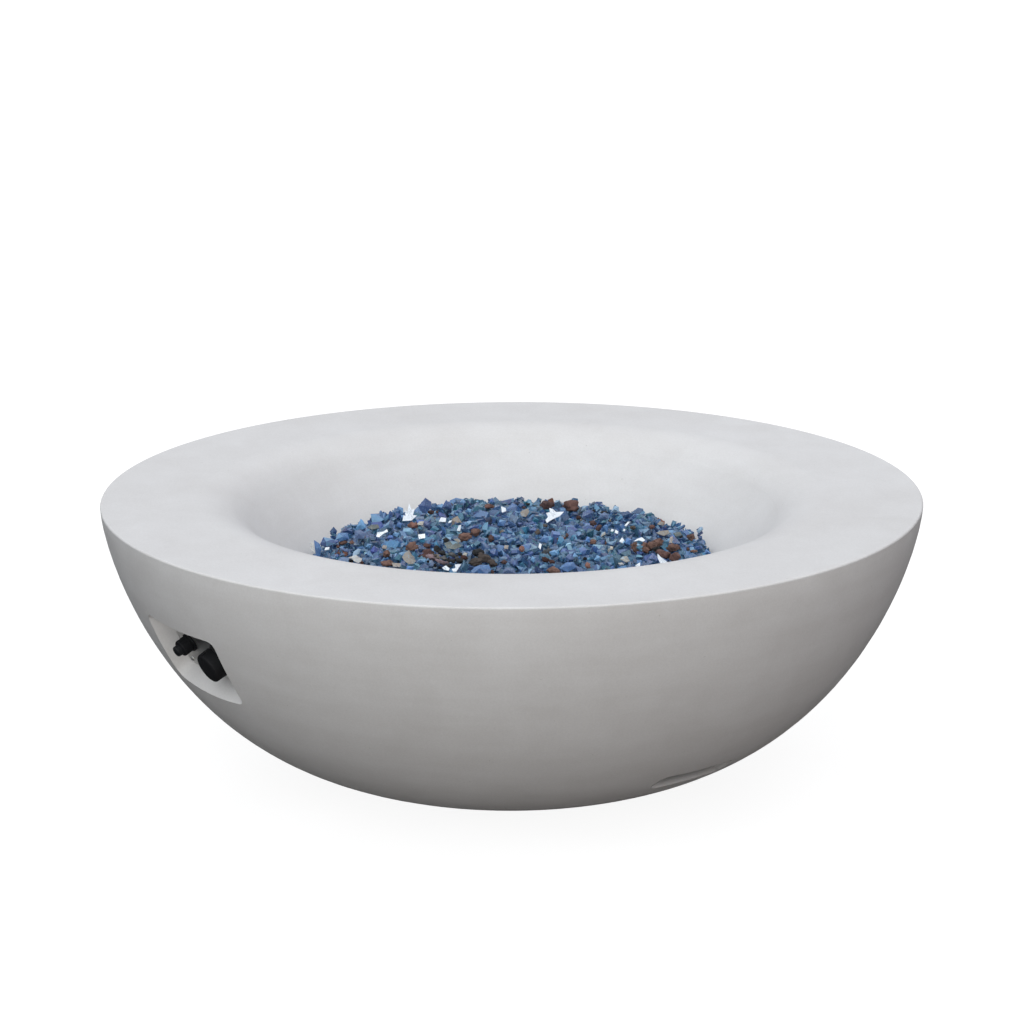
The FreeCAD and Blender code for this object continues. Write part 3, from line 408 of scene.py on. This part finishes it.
def chunk(aspect, count, jitter):
    """An angular lump about 1 across: the hull of points near a box's surface."""
    pts = []
    for _ in range(count):
        p = rng.normal(size=3)
        p /= np.abs(p).max() ** 0.75 * np.linalg.norm(p) ** 0.25
        p *= 1 - jitter * rng.random()
        pts.append(p * aspect * 0.5)
    return hull([tuple(p) for p in pts])


def flake(sides, thick):
    """A flat chip: an uneven polygon with a slanted, broken edge."""
    a = np.sort(rng.random(sides) + np.arange(sides)) / sides * 2 * math.pi
    r = 0.38 + 0.16 * rng.random(sides)
    top = [(r[i] * math.cos(a[i]), r[i] * math.sin(a[i]), thick / 2) for i in range(sides)]
    shift = rng.normal(size=2) * 0.05
    low = [(x * 0.92 + shift[0], y * 0.92 + shift[1], -thick / 2) for x, y, _ in top]
    return hull(top + low)


def rough_lump(levels, aspect, rough, seed):
    """A rough, rounded lump of rock about 1 across."""
    bm = bmesh.new()
    bmesh.ops.create_icosphere(bm, subdivisions=levels, radius=0.5)
    off = Vector((seed * 3.7, seed * 1.3, seed * 7.1))
    for v in bm.verts:
        n = v.co.normalized()
        a = noise.noise(n * 1.3 + off) * 0.50 + noise.noise(n * 3.1 + off) * 0.42 + noise.noise(n * 7.5 + off) * 0.30
        v.co = n * 0.5 * (1 + rough * a)
        v.co = Vector((v.co.x * aspect[0], v.co.y * aspect[1], v.co.z * aspect[2]))
    bm.verts.index_update()
    v = np.array([x.co for x in bm.verts], float)
    f = [[q.index for q in x.verts] for x in bm.faces]
    bm.free()
    return v, f


def rotation(tilt_max=math.pi):
    """A random turn; the piece's own +Z ends within tilt_max of straight up."""
    spin = rng.random() * 2 * math.pi
    tilt = tilt_max * math.sqrt(rng.random())
    way = rng.random() * 2 * math.pi
    m = Matrix.Rotation(way, 3, "Z") @ Matrix.Rotation(tilt, 3, "Y") @ Matrix.Rotation(spin, 3, "Z")
    return np.array(m, float)


class Pile:
    """Many small pieces gathered into one mesh."""

    def __init__(self):
        self.v, self.f, self.tone, self.facet, self.n = [], [], [], [], 0

    def add(self, v, f, tone):
        self.v.append(v)
        for q in f:
            self.f.append([i + self.n for i in q])
            # one random number for each face, which the glass reads for painted light and shade on its facets
            self.facet.append(rng.random())
        self.tone.extend([(*tone, 1.0)] * len(v))
        self.n += len(v)

    def put(self, proto, place, turn_m, size, tone):
        v, f = proto
        self.add((v * size) @ turn_m.T + place, f, tone)

    def build(self, name, material, slot, smooth=False):
        mesh = bpy.data.meshes.new(name)
        mesh.from_pydata(np.vstack(self.v).tolist(), [], self.f)
        a = mesh.attributes.new("tone", "FLOAT_COLOR", "POINT")
        a.data.foreach_set("color", np.array(self.tone, np.float32).ravel())
        # the random number of each face, for the painted light and shade on the glass facets
        b = mesh.attributes.new("facet", "FLOAT", "FACE")
        b.data.foreach_set("value", np.array(self.facet, np.float32))
        mesh.polygons.foreach_set("use_smooth", [smooth] * len(mesh.polygons))
        mesh.update()
        o = bpy.data.objects.new(name, mesh)
        scene.collection.objects.link(o)
        mesh.materials.append(material)
        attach(o, "bowl")
        return o


chunks = [chunk(np.array((1.0, 0.62 + 0.3 * rng.random(), 0.45 + 0.4 * rng.random())), int(rng.integers(8, 14)), 0.20) for _ in range(48)]
flakes = [flake(int(rng.integers(3, 7)), 0.20 + 0.18 * rng.random()) for _ in range(24)]
lumps = [rough_lump(3, (1.0, 0.66 + 0.25 * rng.random(), 0.55 + 0.3 * rng.random()), 0.95, k + 1) for k in range(10)]

BLUES = [(0.33, (73, 103, 141)), (0.22, (66, 99, 146)), (0.18, (80, 114, 143)), (0.06, (58, 82, 124)), (0.10, (98, 138, 178)),
         (0.03, (76, 96, 142)), (0.03, (140, 182, 210)), (0.05, (70, 126, 160))]
PALES = [(150, 146, 138), (176, 170, 160), (128, 126, 118), (196, 200, 196), (140, 128, 116)]
REDS = [(106, 74, 68), (92, 64, 60), (116, 80, 68), (80, 58, 56)]
DARKS = [(62, 64, 66), (48, 46, 46), (84, 88, 92)]
# the few tones of the particular pieces, from light to dark
PALE_PLATES = [(202, 200, 196), (150, 176, 200), (182, 176, 164), (168, 156, 146), (146, 138, 128), (102, 108, 104)]
BLUE_PLATES = [(158, 186, 210), (120, 168, 212), (100, 144, 204), (84, 120, 170), (96, 114, 150), (74, 94, 140), (52, 76, 116)]
RED_LUMPS = [(140, 86, 68), (118, 78, 62), (94, 82, 72), (106, 66, 56), (84, 56, 54), (74, 40, 34)]
DARK_LUMPS = [(130, 102, 110), (82, 82, 82), (76, 64, 58), (44, 56, 86), (44, 44, 46), (22, 24, 30)]


def blue_tone():
    u = rng.random()
    for w, c in BLUES:
        u -= w
        if u <= 0:
            break
    k = float(np.clip(rng.normal(1.0, 0.10), 0.7, 1.3))
    return shade(*[min(255, x * k + float(rng.normal(0, 5))) for x in c])


def pick(colours, jitter=0.10):
    c = colours[int(rng.integers(len(colours)))]
    k = 1 + jitter * float(rng.normal())
    return shade(*[max(5, min(250, x * k)) for x in c])


blue, pale, silver, red_lava, dark_lava = Pile(), Pile(), Pile(), Pile(), Pile()
keep_clear = []          # (x, y, half width, half height) in pixels, where a particular piece lies on top
stands = []              # what carries each particular piece: (first centre, way it faces, size, depth to reach)


def note_stand(points, middle, face, wide, thick):
    low = min(points, key=lambda p: p[2])
    gap = low[2] - heap_z(math.hypot(low[0], low[1]))
    if gap < -0.004 and math.hypot(middle[0], middle[1]) > 0.250:
        return          # it leans into the heap's edge already
    size = min(0.015, max(0.006, 0.95 * wide))
    stands.append((np.array(middle - face * (0.6 * thick + 0.30 * size)), face.copy(), size, max(0.0115, gap + 0.006)))


# Particular pieces lie where they are seen from the front. A plate is an outline in the picture,
# set in a plane that leans back by some degrees; it is a few millimetres thick.
up = Vector((0, 0, 1))
level_back = Vector((back.x, back.y, 0)).normalized()
side = up.cross(level_back).normalized()


def plate(pile, outline, tone, lean=38, thick=0.0035, at=None, lift=0.0045, peak=0.0, swing=0.0):
    xs, ys = [p[0] for p in outline], [p[1] for p in outline]
    cx, cy = (min(xs) + max(xs)) / 2, (min(ys) + max(ys)) / 2
    origin = on_heap(*(at or (cx, cy)), lift)
    a, w = math.radians(lean), math.radians(swing)
    face = (level_back * math.cos(w) + side * math.sin(w)) * math.cos(a) + up * math.sin(a)
    corners = []
    for x, y in outline:
        d = pixel_ray(x, y)
        corners.append(eye + d * ((origin - eye).dot(face) / d.dot(face)))
    middle = sum(corners, Vector()) / len(corners)
    n = len(corners)
    lows = [middle + (c - middle) * 0.86 - face * thick for c in corners]
    v = [c[:] for c in corners] + [c[:] for c in lows]
    area = sum((corners[i] - middle).cross(corners[(i + 1) % n] - middle).dot(face) for i in range(n))
    ring = list(range(n)) if area > 0 else list(range(n - 1, -1, -1))
    f = [[i + n for i in reversed(ring)]] + [[ring[k], ring[k] + n, ring[(k + 1) % n] + n, ring[(k + 1) % n]] for k in range(n)]
    if peak:
        top = middle + face * peak + side * peak * 0.4 * float(rng.normal())
        v.append(top[:])
        f += [[ring[k], ring[(k + 1) % n], 2 * n] for k in range(n)]
    else:
        f.append(ring)
    pile.add(np.array(v, float), f, tone)
    note_stand(v, middle, face, 2 * sum((c - middle).length for c in corners) / n, thick)
    keep_clear.append((cx, (cy + max(ys)) / 2, (max(xs) - min(xs)) / 2 + 3.5, (max(ys) - min(ys)) / 2 + 4.5))


def lump_at(pile, x, y, w, h, tone, at=None, lift=0.0015, roll=0.0):
    """A lump of rock that covers about w x h pixels around a pixel."""
    p = on_heap(*(at or (x, y)), lift)
    d = pixel_ray(x, y)
    if at:
        p = eye + d * ((p - eye).dot(level_back) / d.dot(level_back))
    k = (p - eye).length / FOCAL
    v, f = rough_lump(3, (1.0, 1.0, 1.0), 0.85, 20 + len(keep_clear) * 1.37)
    m = np.column_stack([np.array(side) * w * k, np.array(level_back) * (0.55 * w + 0.45 * h) * k, np.array(up) * h * k])
    c, s_ = math.cos(math.radians(roll)), math.sin(math.radians(roll))
    spin = np.array([[c, 0, -s_], [0, 1, 0], [s_, 0, c]])
    own = np.diag([w, 0.55 * w + 0.45 * h, h]) * k * (0.90 if w > 10 else 0.80)
    v = v @ (np.column_stack([np.array(side), np.array(level_back), np.array(up)]) @ spin @ own).T + np.array(p)
    note_stand(v.tolist(), p, up, 0.8 * w * k, 0.5 * h * k)
    grey_tone = sum(tone) / 3
    pile.add(v, f, [0.61 * c + 0.40 * grey_tone for c in tone])
    keep_clear.append((x, y + h * 0.3, w / 2 + 0.6, h / 2 + 1.4))


WHITE = shade(236, 238, 240)
for outline in [
    [(402.5, 521), (403.5, 515), (405.5, 516), (405, 509.5), (407.5, 512), (409, 503), (411.5, 510), (414.5, 508.5), (413, 515), (417, 515.5), (411.5, 520.5)],
    [(376.3, 536.5), (377.3, 532.3), (382.5, 531.8), (387, 529.2), (388, 531.6), (383.2, 533.8), (379, 537.4)],
    [(418, 534.6), (425, 533.6), (425.2, 537.8), (419, 539)],
    [(438.8, 521.6), (441, 517.2), (446.2, 518), (445.6, 522)],
    [(448, 523), (449.2, 520.8), (452.4, 520.3), (450, 522.8)],
    [(457, 530.4), (458.8, 525.2), (461.2, 525), (460, 531.2)],
    [(501, 506), (505.7, 508), (506.2, 511), (502, 512.6)],
    [(547, 523), (545.4, 520), (548, 517), (546, 513), (550, 512), (549.2, 508), (553, 509), (556, 512), (564, 511.6), (560, 516), (553, 519), (548.6, 521.6)],
    [(624.4, 525.4), (628, 521.6), (629.8, 522), (626, 526.4)],
    [(614.6, 532.5), (615.6, 529.8), (618.4, 531.2), (617.4, 534)],
    [(619.3, 541.2), (622, 537.4), (624.3, 540.2), (622, 543.2)],
    [(635.2, 565.2), (640.2, 562.4), (640, 565.8), (637, 567.6)],
    [(324.4, 550.2), (325.5, 547.4), (329.6, 546.9), (329, 549.6)],
    [(442, 567.6), (446, 565.4), (449.6, 568.4), (449, 570.6), (444, 569.6)],
    [(453, 571.6), (451.8, 569), (455.4, 568), (455, 564.4), (461.2, 564), (459, 567.6), (456.2, 571.6)],
    [(538.4, 547.2), (539.4, 543.2), (541.8, 544), (540.6, 549.4)],
    [(610.8, 531), (611.6, 528.8), (614, 530), (612.6, 531.8)],
    [(623, 530.6), (623.6, 528.6), (625.6, 529.6), (624.6, 531.4)],
    [(657.4, 553.4), (660.4, 556.6), (666, 561), (669.8, 563.6), (664, 565.4), (659.8, 562.4), (657.6, 557.6)],
]:
    plate(silver, outline, WHITE, lean=40 + 5 * float(rng.normal()), thick=0.003, lift=0.006)
plate(silver, [(633.4, 541.4), (637.6, 538.6), (642, 537.2), (645.2, 540), (643, 541.6), (639, 540.2)], WHITE, at=(639, 546), lift=0.012)

for outline, tone in [
    ([(348.2, 557.4), (353, 556), (356, 554.8), (358.4, 557), (362.4, 558.4), (361, 561.6), (358, 563.2), (354, 561), (351.6, 558.6)], 0),
    ([(352.4, 556), (353.6, 551.6), (358, 548.4), (361, 549.4), (359, 553.6), (355.4, 555.6)], 1),
    ([(309.4, 543.6), (313.6, 541), (315.4, 554), (312, 551)], 0),
    ([(402, 557), (404.6, 553), (409, 550), (411.2, 554), (414.4, 556.8), (415.8, 561), (413, 564), (409, 564.2), (404.4, 561)], 4),
    ([(392, 562.8), (401, 563.4), (400, 567.2), (393, 566.8)], 3),
    ([(520, 513), (522, 510.4), (528, 508.4), (529.4, 512), (526, 517), (522, 516.2)], 4),
    ([(367, 527.2), (372, 524.4), (378, 524.4), (379.4, 527.6), (372, 529.6)], 5),
    ([(382, 548.4), (383, 545), (387, 545.6), (386.4, 549)], 3),
    ([(453, 539), (458, 538.4), (461.2, 541), (458, 542.8)], 4),
    ([(444, 543.4), (450, 541), (458, 542), (462, 546), (455, 549.4), (447, 548.2)], 5),
    ([(656, 533), (660, 531), (668, 530), (670.2, 533), (664, 535.8)], 4),
    ([(669, 543), (670, 537), (673, 536), (672.2, 543)], 3),
    ([(673, 533), (680, 531.8), (682, 535), (676, 536.4)], 5),
    ([(657, 524.4), (660, 521), (664, 522.6), (663, 525.4)], 4),
    ([(504, 548.4), (504.6, 545), (508.6, 545.4), (508, 549)], 3),
    ([(462, 556), (464, 552.4), (467.6, 553), (466, 557)], 2),
    ([(620, 559), (623, 556.4), (627.2, 556), (630, 561), (626, 562.2)], 2),
    ([(618, 563), (622, 562.4), (624.2, 564.6), (620, 564.8)], 0),
    ([(601, 537), (602, 533), (605, 531.4), (605.8, 534)], 2),
    ([(609.4, 549.4), (610.4, 546), (613.4, 547), (612.4, 550)], 2),
    ([(416.6, 524.8), (419, 521.4), (424, 521.2), (423, 525.2)], 2),
]:
    plate(pale, outline, shade(*PALE_PLATES[tone]), lean=34 + 8 * float(rng.normal()), lift=0.005, peak=0.0008)

for outline, tone, at, lean in [
    ([(418, 505.4), (422, 502.4), (425.2, 497.6), (431.4, 502), (431.2, 508), (425, 513.4), (420, 510.4)], 5, (425, 513), 12),
    ([(330, 533.4), (330.8, 530), (333.6, 526.6), (337.2, 531), (336, 534.4), (331, 535.4)], 6, (333, 540), 12),
    ([(355.8, 528.4), (360.8, 518.6), (363.4, 521), (366.4, 527.4), (362.6, 529.6)], 1, (361, 530), 16),
    ([(382.6, 527.4), (390.6, 519.8), (394.4, 524), (392, 528.4)], 4, (390, 528), 20),
    ([(441, 508.4), (446.2, 499.8), (451, 505), (452, 509)], 5, (446, 509), 14),
    ([(471, 571), (474, 567.6), (480, 564.8), (489, 564.8), (491.4, 570), (487, 574), (473, 573.6)], 3, None, 34),
    ([(610.6, 512.4), (614.4, 505.8), (618.8, 506.8), (619.2, 512)], 0, (615, 513), 14),
    ([(581, 511.4), (582.4, 506), (586.4, 505.4), (586, 511)], 0, (583, 511), 14),
    ([(696.4, 531.4), (698.8, 528.4), (702.2, 526.4), (703.4, 529.4), (699, 533.4)], 0, (699, 538), 12),
    ([(704, 553.4), (706.2, 548.6), (712.2, 554.4)], 2, (705, 551), 22),
    ([(599, 518.4), (600, 514.4), (604.6, 511.8), (609, 515), (608, 519)], 4, (604, 518), 22),
    ([(582, 517.4), (583, 512), (590, 509.4), (594.2, 512), (592, 517.6)], 5, (588, 516), 22),
    ([(622, 516.4), (622, 513), (628, 510.8), (632.4, 514), (630, 517.8)], 6, (627, 516), 22),
    ([(314, 540), (319, 543), (321.6, 549), (320, 556.4), (316, 555.4), (314.8, 548)], 3, (320, 549), 24),
    ([(319.6, 545), (323.4, 537), (333.6, 539), (336, 543.6), (326, 546.6)], 5, (328, 545), 28),
    ([(335.6, 539.6), (338.6, 533), (347, 532.6), (349.4, 538.6), (341, 541.4)], 3, (342, 541), 26),
    ([(355, 538.6), (354.6, 531), (360, 529.6), (366, 533), (364, 539)], 4, (360, 537), 28),
    ([(396, 526.4), (398, 522), (402, 523), (401, 528)], 2, None, 30),
    ([(366, 547), (367.4, 543.6), (371.6, 544.4), (370, 548)], 1, None, 34),
    ([(392, 535), (395, 532), (399.6, 533.4), (397, 537)], 1, None, 34),
    ([(465, 511), (468, 508.4), (472, 509.4), (470, 512.6)], 1, None, 34),
    ([(497, 525.4), (500, 519.4), (506, 520.6), (504, 526)], 3, None, 34),
    ([(530.4, 560), (532, 556), (536, 557.6), (534, 562.6)], 1, None, 36),
    ([(553, 555.6), (549, 552), (555, 549.6), (558, 554)], 1, None, 36),
    ([(594, 560), (597, 555), (601, 557), (599, 561)], 1, None, 36),
    ([(585.4, 541), (587, 536.4), (591, 538), (590, 542.4)], 2, None, 34),
    ([(625, 543), (627, 537.4), (632, 539.4), (630, 545)], 2, None, 34),
    ([(539, 541), (544, 534.6), (549, 537), (547, 543)], 3, None, 34),
    ([(466, 573), (478, 572.6), (470, 575.6)], 5, None, 36),
    ([(559, 568), (566, 562.4), (574, 562), (576, 567.6), (568, 572)], 3, None, 34),
    ([(502, 573), (505, 567.6), (514, 568.4), (516, 574)], 4, None, 34),
    ([(417, 562.4), (418.6, 559.4), (426, 559), (424.6, 562.4)], 1, None, 34),
    ([(406, 569.4), (407.4, 566), (414, 566.4), (413, 570.6)], 2, None, 34),
]:
    plate(blue, outline, shade(*BLUE_PLATES[tone]), lean=lean, thick=0.006, at=at, lift=0.0045, peak=0.0035)

for x, y, w, h, tone, at, roll in [
    (413, 525.6, 12, 7, 0, None, 8), (411.5, 547, 13, 8, 1, None, 0), (427, 545.6, 9, 5, 3, None, -5),
    (386.5, 554, 8, 9, 1, None, 0), (388, 563.4, 13, 7, 1, None, 6), (343, 542.4, 9, 5, 1, None, 15),
    (352, 542.6, 6, 4, 1, None, 0), (338, 546.6, 4, 3, 3, None, 0), (363, 537, 7, 3, 1, None, 0),
    (465, 537, 14, 8, 1, None, 8), (475.5, 532.2, 11, 8, 1, None, 12), (491, 538.4, 8, 8, 4, None, 0),
    (547, 505, 13, 9, 4, (547, 510), -8), (571.5, 506, 18, 13, 3, (572, 511), -6), (450, 504.6, 7, 5, 3, (450, 509), -25),
    (489, 506.4, 11, 5, 3, (489, 509), 0), (431, 512.4, 8, 5, 4, None, 0), (522, 549, 7, 7, 0, None, 0),
    (545.5, 559.6, 9, 6, 5, None, -12), (551.5, 561.6, 8, 4, 5, None, -10), (553, 571, 14, 8, 1, None, 0),
    (538, 532, 6, 7, 2, None, 0), (593, 523.4, 9, 6, 4, None, -20), (598.4, 528, 6, 8, 4, None, -30),
    (592.8, 541.6, 8, 6, 1, None, 0), (588, 566, 6, 9, 0, None, 10), (691, 537, 9, 8, 1, None, -20),
    (688, 549, 4, 4, 3, None, 0), (694, 551, 9, 3, 1, None, 4), (652, 527, 7, 5, 3, None, 0),
    (638.6, 546.6, 17, 14, 1, None, 4), (645, 550, 10, 8, 1, None, 0), (651, 546, 12, 9, 1, None, 20),
    (657.6, 542.6, 11, 8, 1, None, 15), (673, 547.6, 13, 9, 1, None, 0), (664, 554.6, 17, 9, 3, None, -14),
    (675, 557.4, 13, 9, 3, None, 0), (524, 507.6, 4, 3, 4, (524, 509), 0), (567, 535.4, 4, 5, 4, None, 0),
    (464, 557.6, 9, 6, 5, None, 0), (504, 562, 7, 5, 4, None, 10), (492.6, 572, 4, 5, 4, None, 0),
    (437, 512, 3, 3, 3, None, 0), (578.6, 517.6, 6, 5, 4, None, 0), (633, 527.6, 7, 5, 2, None, 0),
    (610, 520.6, 3, 3, 2, None, 0), (545, 525.6, 5, 4, 2, None, 0), (432, 572, 6, 3, 4, None, 0),
]:
    lump_at(red_lava, x, y, w, h, shade(*RED_LUMPS[tone]), at=at, roll=roll)
for x, y, w, h, tone, roll in [
    (478, 552.6, 12, 8, 4, 0), (484, 558, 14, 9, 2, -25), (492.6, 563.4, 11, 7, 2, -30), (476, 562, 15, 8, 2, 10),
    (437, 549, 8, 8, 4, 0), (442, 553, 10, 5, 4, -12), (452, 554.6, 9, 5, 1, -20), (460, 554, 6, 4, 4, 10),
    (434, 555.4, 8, 4, 2, -14), (444, 558.4, 9, 4, 1, -8), (437, 559.6, 7, 4, 4, -14),
    (452, 560.4, 8, 4, 4, -10), (447, 562.6, 5, 3, 0, -14), (457, 557.8, 5, 3, 1, 0),
    (431, 557, 11, 5, 0, -20), (441, 562, 13, 4, 0, -24), (448, 566, 8, 4, 4, 0), (460, 560.6, 10, 6, 4, 0),
    (435, 565.4, 4, 4, 5, 0), (440, 567.4, 4, 4, 5, 0), (428, 561.6, 3, 3, 5, 0), (656, 549, 9, 6, 4, 20),
    (446, 540, 7, 5, 4, 0), (552, 530, 8, 5, 3, 0), (585, 558.6, 5, 4, 5, 0), (489, 521, 7, 9, 3, 0),
    (604, 512.2, 8, 3, 4, 0), (594, 511, 4, 4, 4, 0), (515, 504, 10, 4, 3, 0), (528, 504, 6, 3, 4, 0),
    (512, 573, 5, 4, 3, 0), (351, 561, 6, 4, 5, 0), (681, 536.4, 5, 4, 4, 0),
]:
    lump_at(dark_lava, x, y, w, h, shade(*DARK_LUMPS[tone]), roll=roll)

clear_boxes = np.array(keep_clear)


def scatter(count, sizes, depth, spread, top):
    """count pieces over the heap. depth is how far their centres lie under its surface."""
    for _ in range(count):
        size = sizes[0] + (sizes[1] - sizes[0]) * rng.random() ** 1.6
        k = int(np.searchsorted(share, rng.random()))
        r, z, nr, nz, _ = profile[min(k, len(profile) - 1)]
        a = rng.random() * 2 * math.pi
        down = depth + spread * rng.random() + 0.12 * (size - sizes[0])
        r, z = r - nr * down, z - nz * down
        place = np.array((r * math.cos(a), r * math.sin(a), z))
        kind = rng.random()
        if top:
            x, y = pixel(place)
            near = (np.abs(clear_boxes[:, 0] - x) < clear_boxes[:, 2]) & (np.abs(clear_boxes[:, 1] + 1.0 - y) < clear_boxes[:, 3])
            if near.any():
                continue
            if kind > 0.972 and place.dot(np.array(level_back)) > -0.30:
                kind = 0.5
        if kind < 0.972:
            proto = chunks[int(rng.integers(len(chunks)))] if rng.random() < 0.74 else flakes[int(rng.integers(len(flakes)))]
            blue.put(proto, place, rotation(), size, blue_tone())
        elif kind < 0.986:
            pale.put(chunks[int(rng.integers(len(chunks)))], place, rotation(), size * 0.9, pick(PALES))
        elif kind < 0.990:
            silver.put(flakes[int(rng.integers(len(flakes)))], place, rotation(0.9), size * 0.6, WHITE)
        elif kind < 0.997:
            red_lava.put(lumps[int(rng.integers(len(lumps)))], place, rotation(), size, pick(REDS))
        else:
            dark_lava.put(lumps[int(rng.integers(len(lumps)))], place, rotation(), size, pick(DARKS))


scatter(2300, (0.014, 0.026), 0.0090, 0.004, False)
scatter(2700, (0.013, 0.026), 0.0035, 0.004, True)
scatter(560, (0.009, 0.017), 0.0005, 0.002, True)
# chunks under the particular pieces, down into the heap, so that each one is carried
for place, face, size, reach in stands:
    steps = math.ceil(reach / (0.42 * size))
    for k in range(steps):
        lay = np.array(face.to_track_quat("Z", "Y").to_matrix() @ Matrix.Rotation(rng.random() * 2 * math.pi, 3, "Z")) if k == 0 else rotation(0.5)
        blue.put(chunks[int(rng.integers(len(chunks)))], place - np.array((0, 0, 0.42 * size * k)), lay, size, blue_tone())

blue.build("fire_glass_blue", glass_material(), "fire_glass")
pale_mat = glass_material()
pale_mat.name = "pale_glass"
pale.build("fire_glass_pale", pale_mat, "fire_glass")
silver.build("fire_glass_silvered", mirror_material(), "fire_glass")
red_lava.build("lava_chips_red", lava_material("red_lava"), "lava_rock", True)
dark_lava.build("lava_chips_dark", lava_material("dark_lava"), "lava_rock", True)

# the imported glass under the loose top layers
bm = bmesh.new()
SPOKES = 128
rows = []
for k in range(1, 61):
    r = 0.2674 * k / 60
    z = max(heap_z(r) - 0.0125, 0.2668)
    row = []
    for q in range(SPOKES):
        a = 2 * math.pi * q / SPOKES
        x, y = r * math.cos(a), r * math.sin(a)
        row.append(bm.verts.new((x, y, z + (0.003 * noise.noise(Vector((x * 90, y * 90, 3.3))) if z > 0.2700 else 0.0))))
    rows.append(row)
mid = bm.verts.new((0, 0, TOP_Z - 0.0125))
for q in range(SPOKES):
    bm.faces.new((mid, rows[0][q], rows[0][(q + 1) % SPOKES]))
for i in range(len(rows) - 1):
    for q in range(SPOKES):
        bm.faces.new((rows[i][q], rows[i + 1][q], rows[i + 1][(q + 1) % SPOKES], rows[i][(q + 1) % SPOKES]))
bm.normal_update()
mesh = bpy.data.meshes.new("fire_glass_bed")
bm.to_mesh(mesh)
bm.free()
bed = bpy.data.objects.new("fire_glass_bed", mesh)
scene.collection.objects.link(bed)
mesh.materials.append(bed_material())
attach(bed, "bowl")
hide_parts("fire_glass")

# ------------------------------------------------------------------ finishes of the CAD nodes
lava_cad = plain_finish("lava_rock_fill", (0.030, 0.014, 0.011), (0.150, 0.058, 0.044), 0.0, (0.80, 0.95), 240.0, 0.00200, 60.0, spec=0.25)
for sub in frame["record"]["subparts"]:
    o = nodes[sub["node"]]
    slot = sub["material_slot"]
    material = MATERIALS.get(slot, lava_cad)
    o.data.materials.clear()
    o.data.materials.append(material)

# ------------------------------------------------------------------ light and floor
mesh = bpy.data.meshes.new("floor")
mesh.from_pydata([(-60, -60, -0.0003), (60, -60, -0.0003), (60, 60, -0.0003), (-60, 60, -0.0003)], [], [(0, 1, 2, 3)])
floor = bpy.data.objects.new("floor", mesh)
scene.collection.objects.link(floor)
m, nt, b = new_material("pale_floor")
n = tex_noise(nt, coords(nt), 3.0, 2.0)
nt.links.new(ramp(nt, n, [(0.3, (0.150, 0.148, 0.146)), (0.7, (0.160, 0.158, 0.156))]), b.inputs["Base Color"])
nt.links.new(ramp(nt, n, [(0.3, (0.90, 0.90, 0.90)), (0.7, (0.91, 0.91, 0.91))]), b.inputs["Emission Color"])
b.inputs["Emission Strength"].default_value = 1.0
b.inputs["Roughness"].default_value = 0.9
b.inputs["Specular IOR Level"].default_value = 0.1
mesh.materials.append(m)
# the far end of the pale sheet, turned up as a backdrop, so that a low view has no dark horizon
bm = bmesh.new()
TURNS, FAR, HIGH = 96, 57.0, 45.0
foot = [bm.verts.new((FAR * math.cos(2 * math.pi * k / TURNS), FAR * math.sin(2 * math.pi * k / TURNS), -0.0003)) for k in range(TURNS)]
head = [bm.verts.new((v.co.x, v.co.y, HIGH)) for v in foot]
for k in range(TURNS):
    bm.faces.new((foot[k], head[k], head[(k + 1) % TURNS], foot[(k + 1) % TURNS]))
mesh = bpy.data.meshes.new("backdrop")
bm.to_mesh(mesh)
bm.free()
backdrop = bpy.data.objects.new("backdrop", mesh)
scene.collection.objects.link(backdrop)
m, nt, b = new_material("pale_backdrop")
n = tex_noise(nt, coords(nt), 0.2, 2.0)
nt.links.new(ramp(nt, n, [(0.3, (0.99, 0.99, 0.99)), (0.7, (1.01, 1.01, 1.01))]), b.inputs["Emission Color"])
b.inputs["Emission Strength"].default_value = 1.0
b.inputs["Base Color"].default_value = (0.0, 0.0, 0.0, 1.0)
b.inputs["Roughness"].default_value = 1.0
b.inputs["Specular IOR Level"].default_value = 0.0
mesh.materials.append(m)
backdrop.visible_diffuse = backdrop.visible_glossy = backdrop.visible_transmission = backdrop.visible_shadow = False
# the floor is a pale sheet lit from below, so that it takes only a faint shadow; the light that it would throw back up is in the world's lower half
floor.visible_diffuse = False
floor.visible_glossy = False
floor.visible_transmission = False
floor.visible_shadow = False


def sun(name, azimuth, elevation, colour, angle):
    """A soft light from a direction: azimuth from the front view's own, positive to its right."""
    d = bpy.data.lights.new(name, "SUN")
    d.energy = max(colour)
    d.angle = math.radians(angle)
    d.color = [c / max(colour) for c in colour]
    o = bpy.data.objects.new(name, d)
    a = AZ + math.radians(azimuth)
    e = math.radians(elevation)
    way = Vector((math.sin(a) * math.cos(e), -math.cos(a) * math.cos(e), math.sin(e)))
    o.rotation_euler = way.to_track_quat("Z", "Y").to_euler()
    scene.collection.objects.link(o)
    return o


sun("key", -23, 30, (1.29, 1.38, 1.38), 60)
sun("front", 13, 6, (1.00, 0.92, 0.85), 60)
sun("rear", 180, 25, (0.22, 0.22, 0.23), 80)
world = bpy.data.worlds.new("studio")
scene.world = world
world.use_nodes = True
wt = world.node_tree
bg = wt.nodes["Background"]
height = wt.nodes.new("ShaderNodeSeparateXYZ")
wt.links.new(wt.nodes.new("ShaderNodeTexCoord").outputs["Generated"], height.inputs[0])
z2 = math_node(wt, "MULTIPLY", height.outputs["Z"], height.outputs["Z"])
above = math_node(wt, "GREATER_THAN", height.outputs["Z"], 0.0)
overhead = mix(wt, z2, (0.31, 0.32, 0.36), (1.49, 1.54, 1.62))
wt.links.new(mix(wt, above, (0.030, 0.032, 0.036), overhead), bg.inputs["Color"])
bg.inputs["Strength"].default_value = 1.0
scene.view_settings.view_transform = "Standard"
scene.view_settings.look = "None"
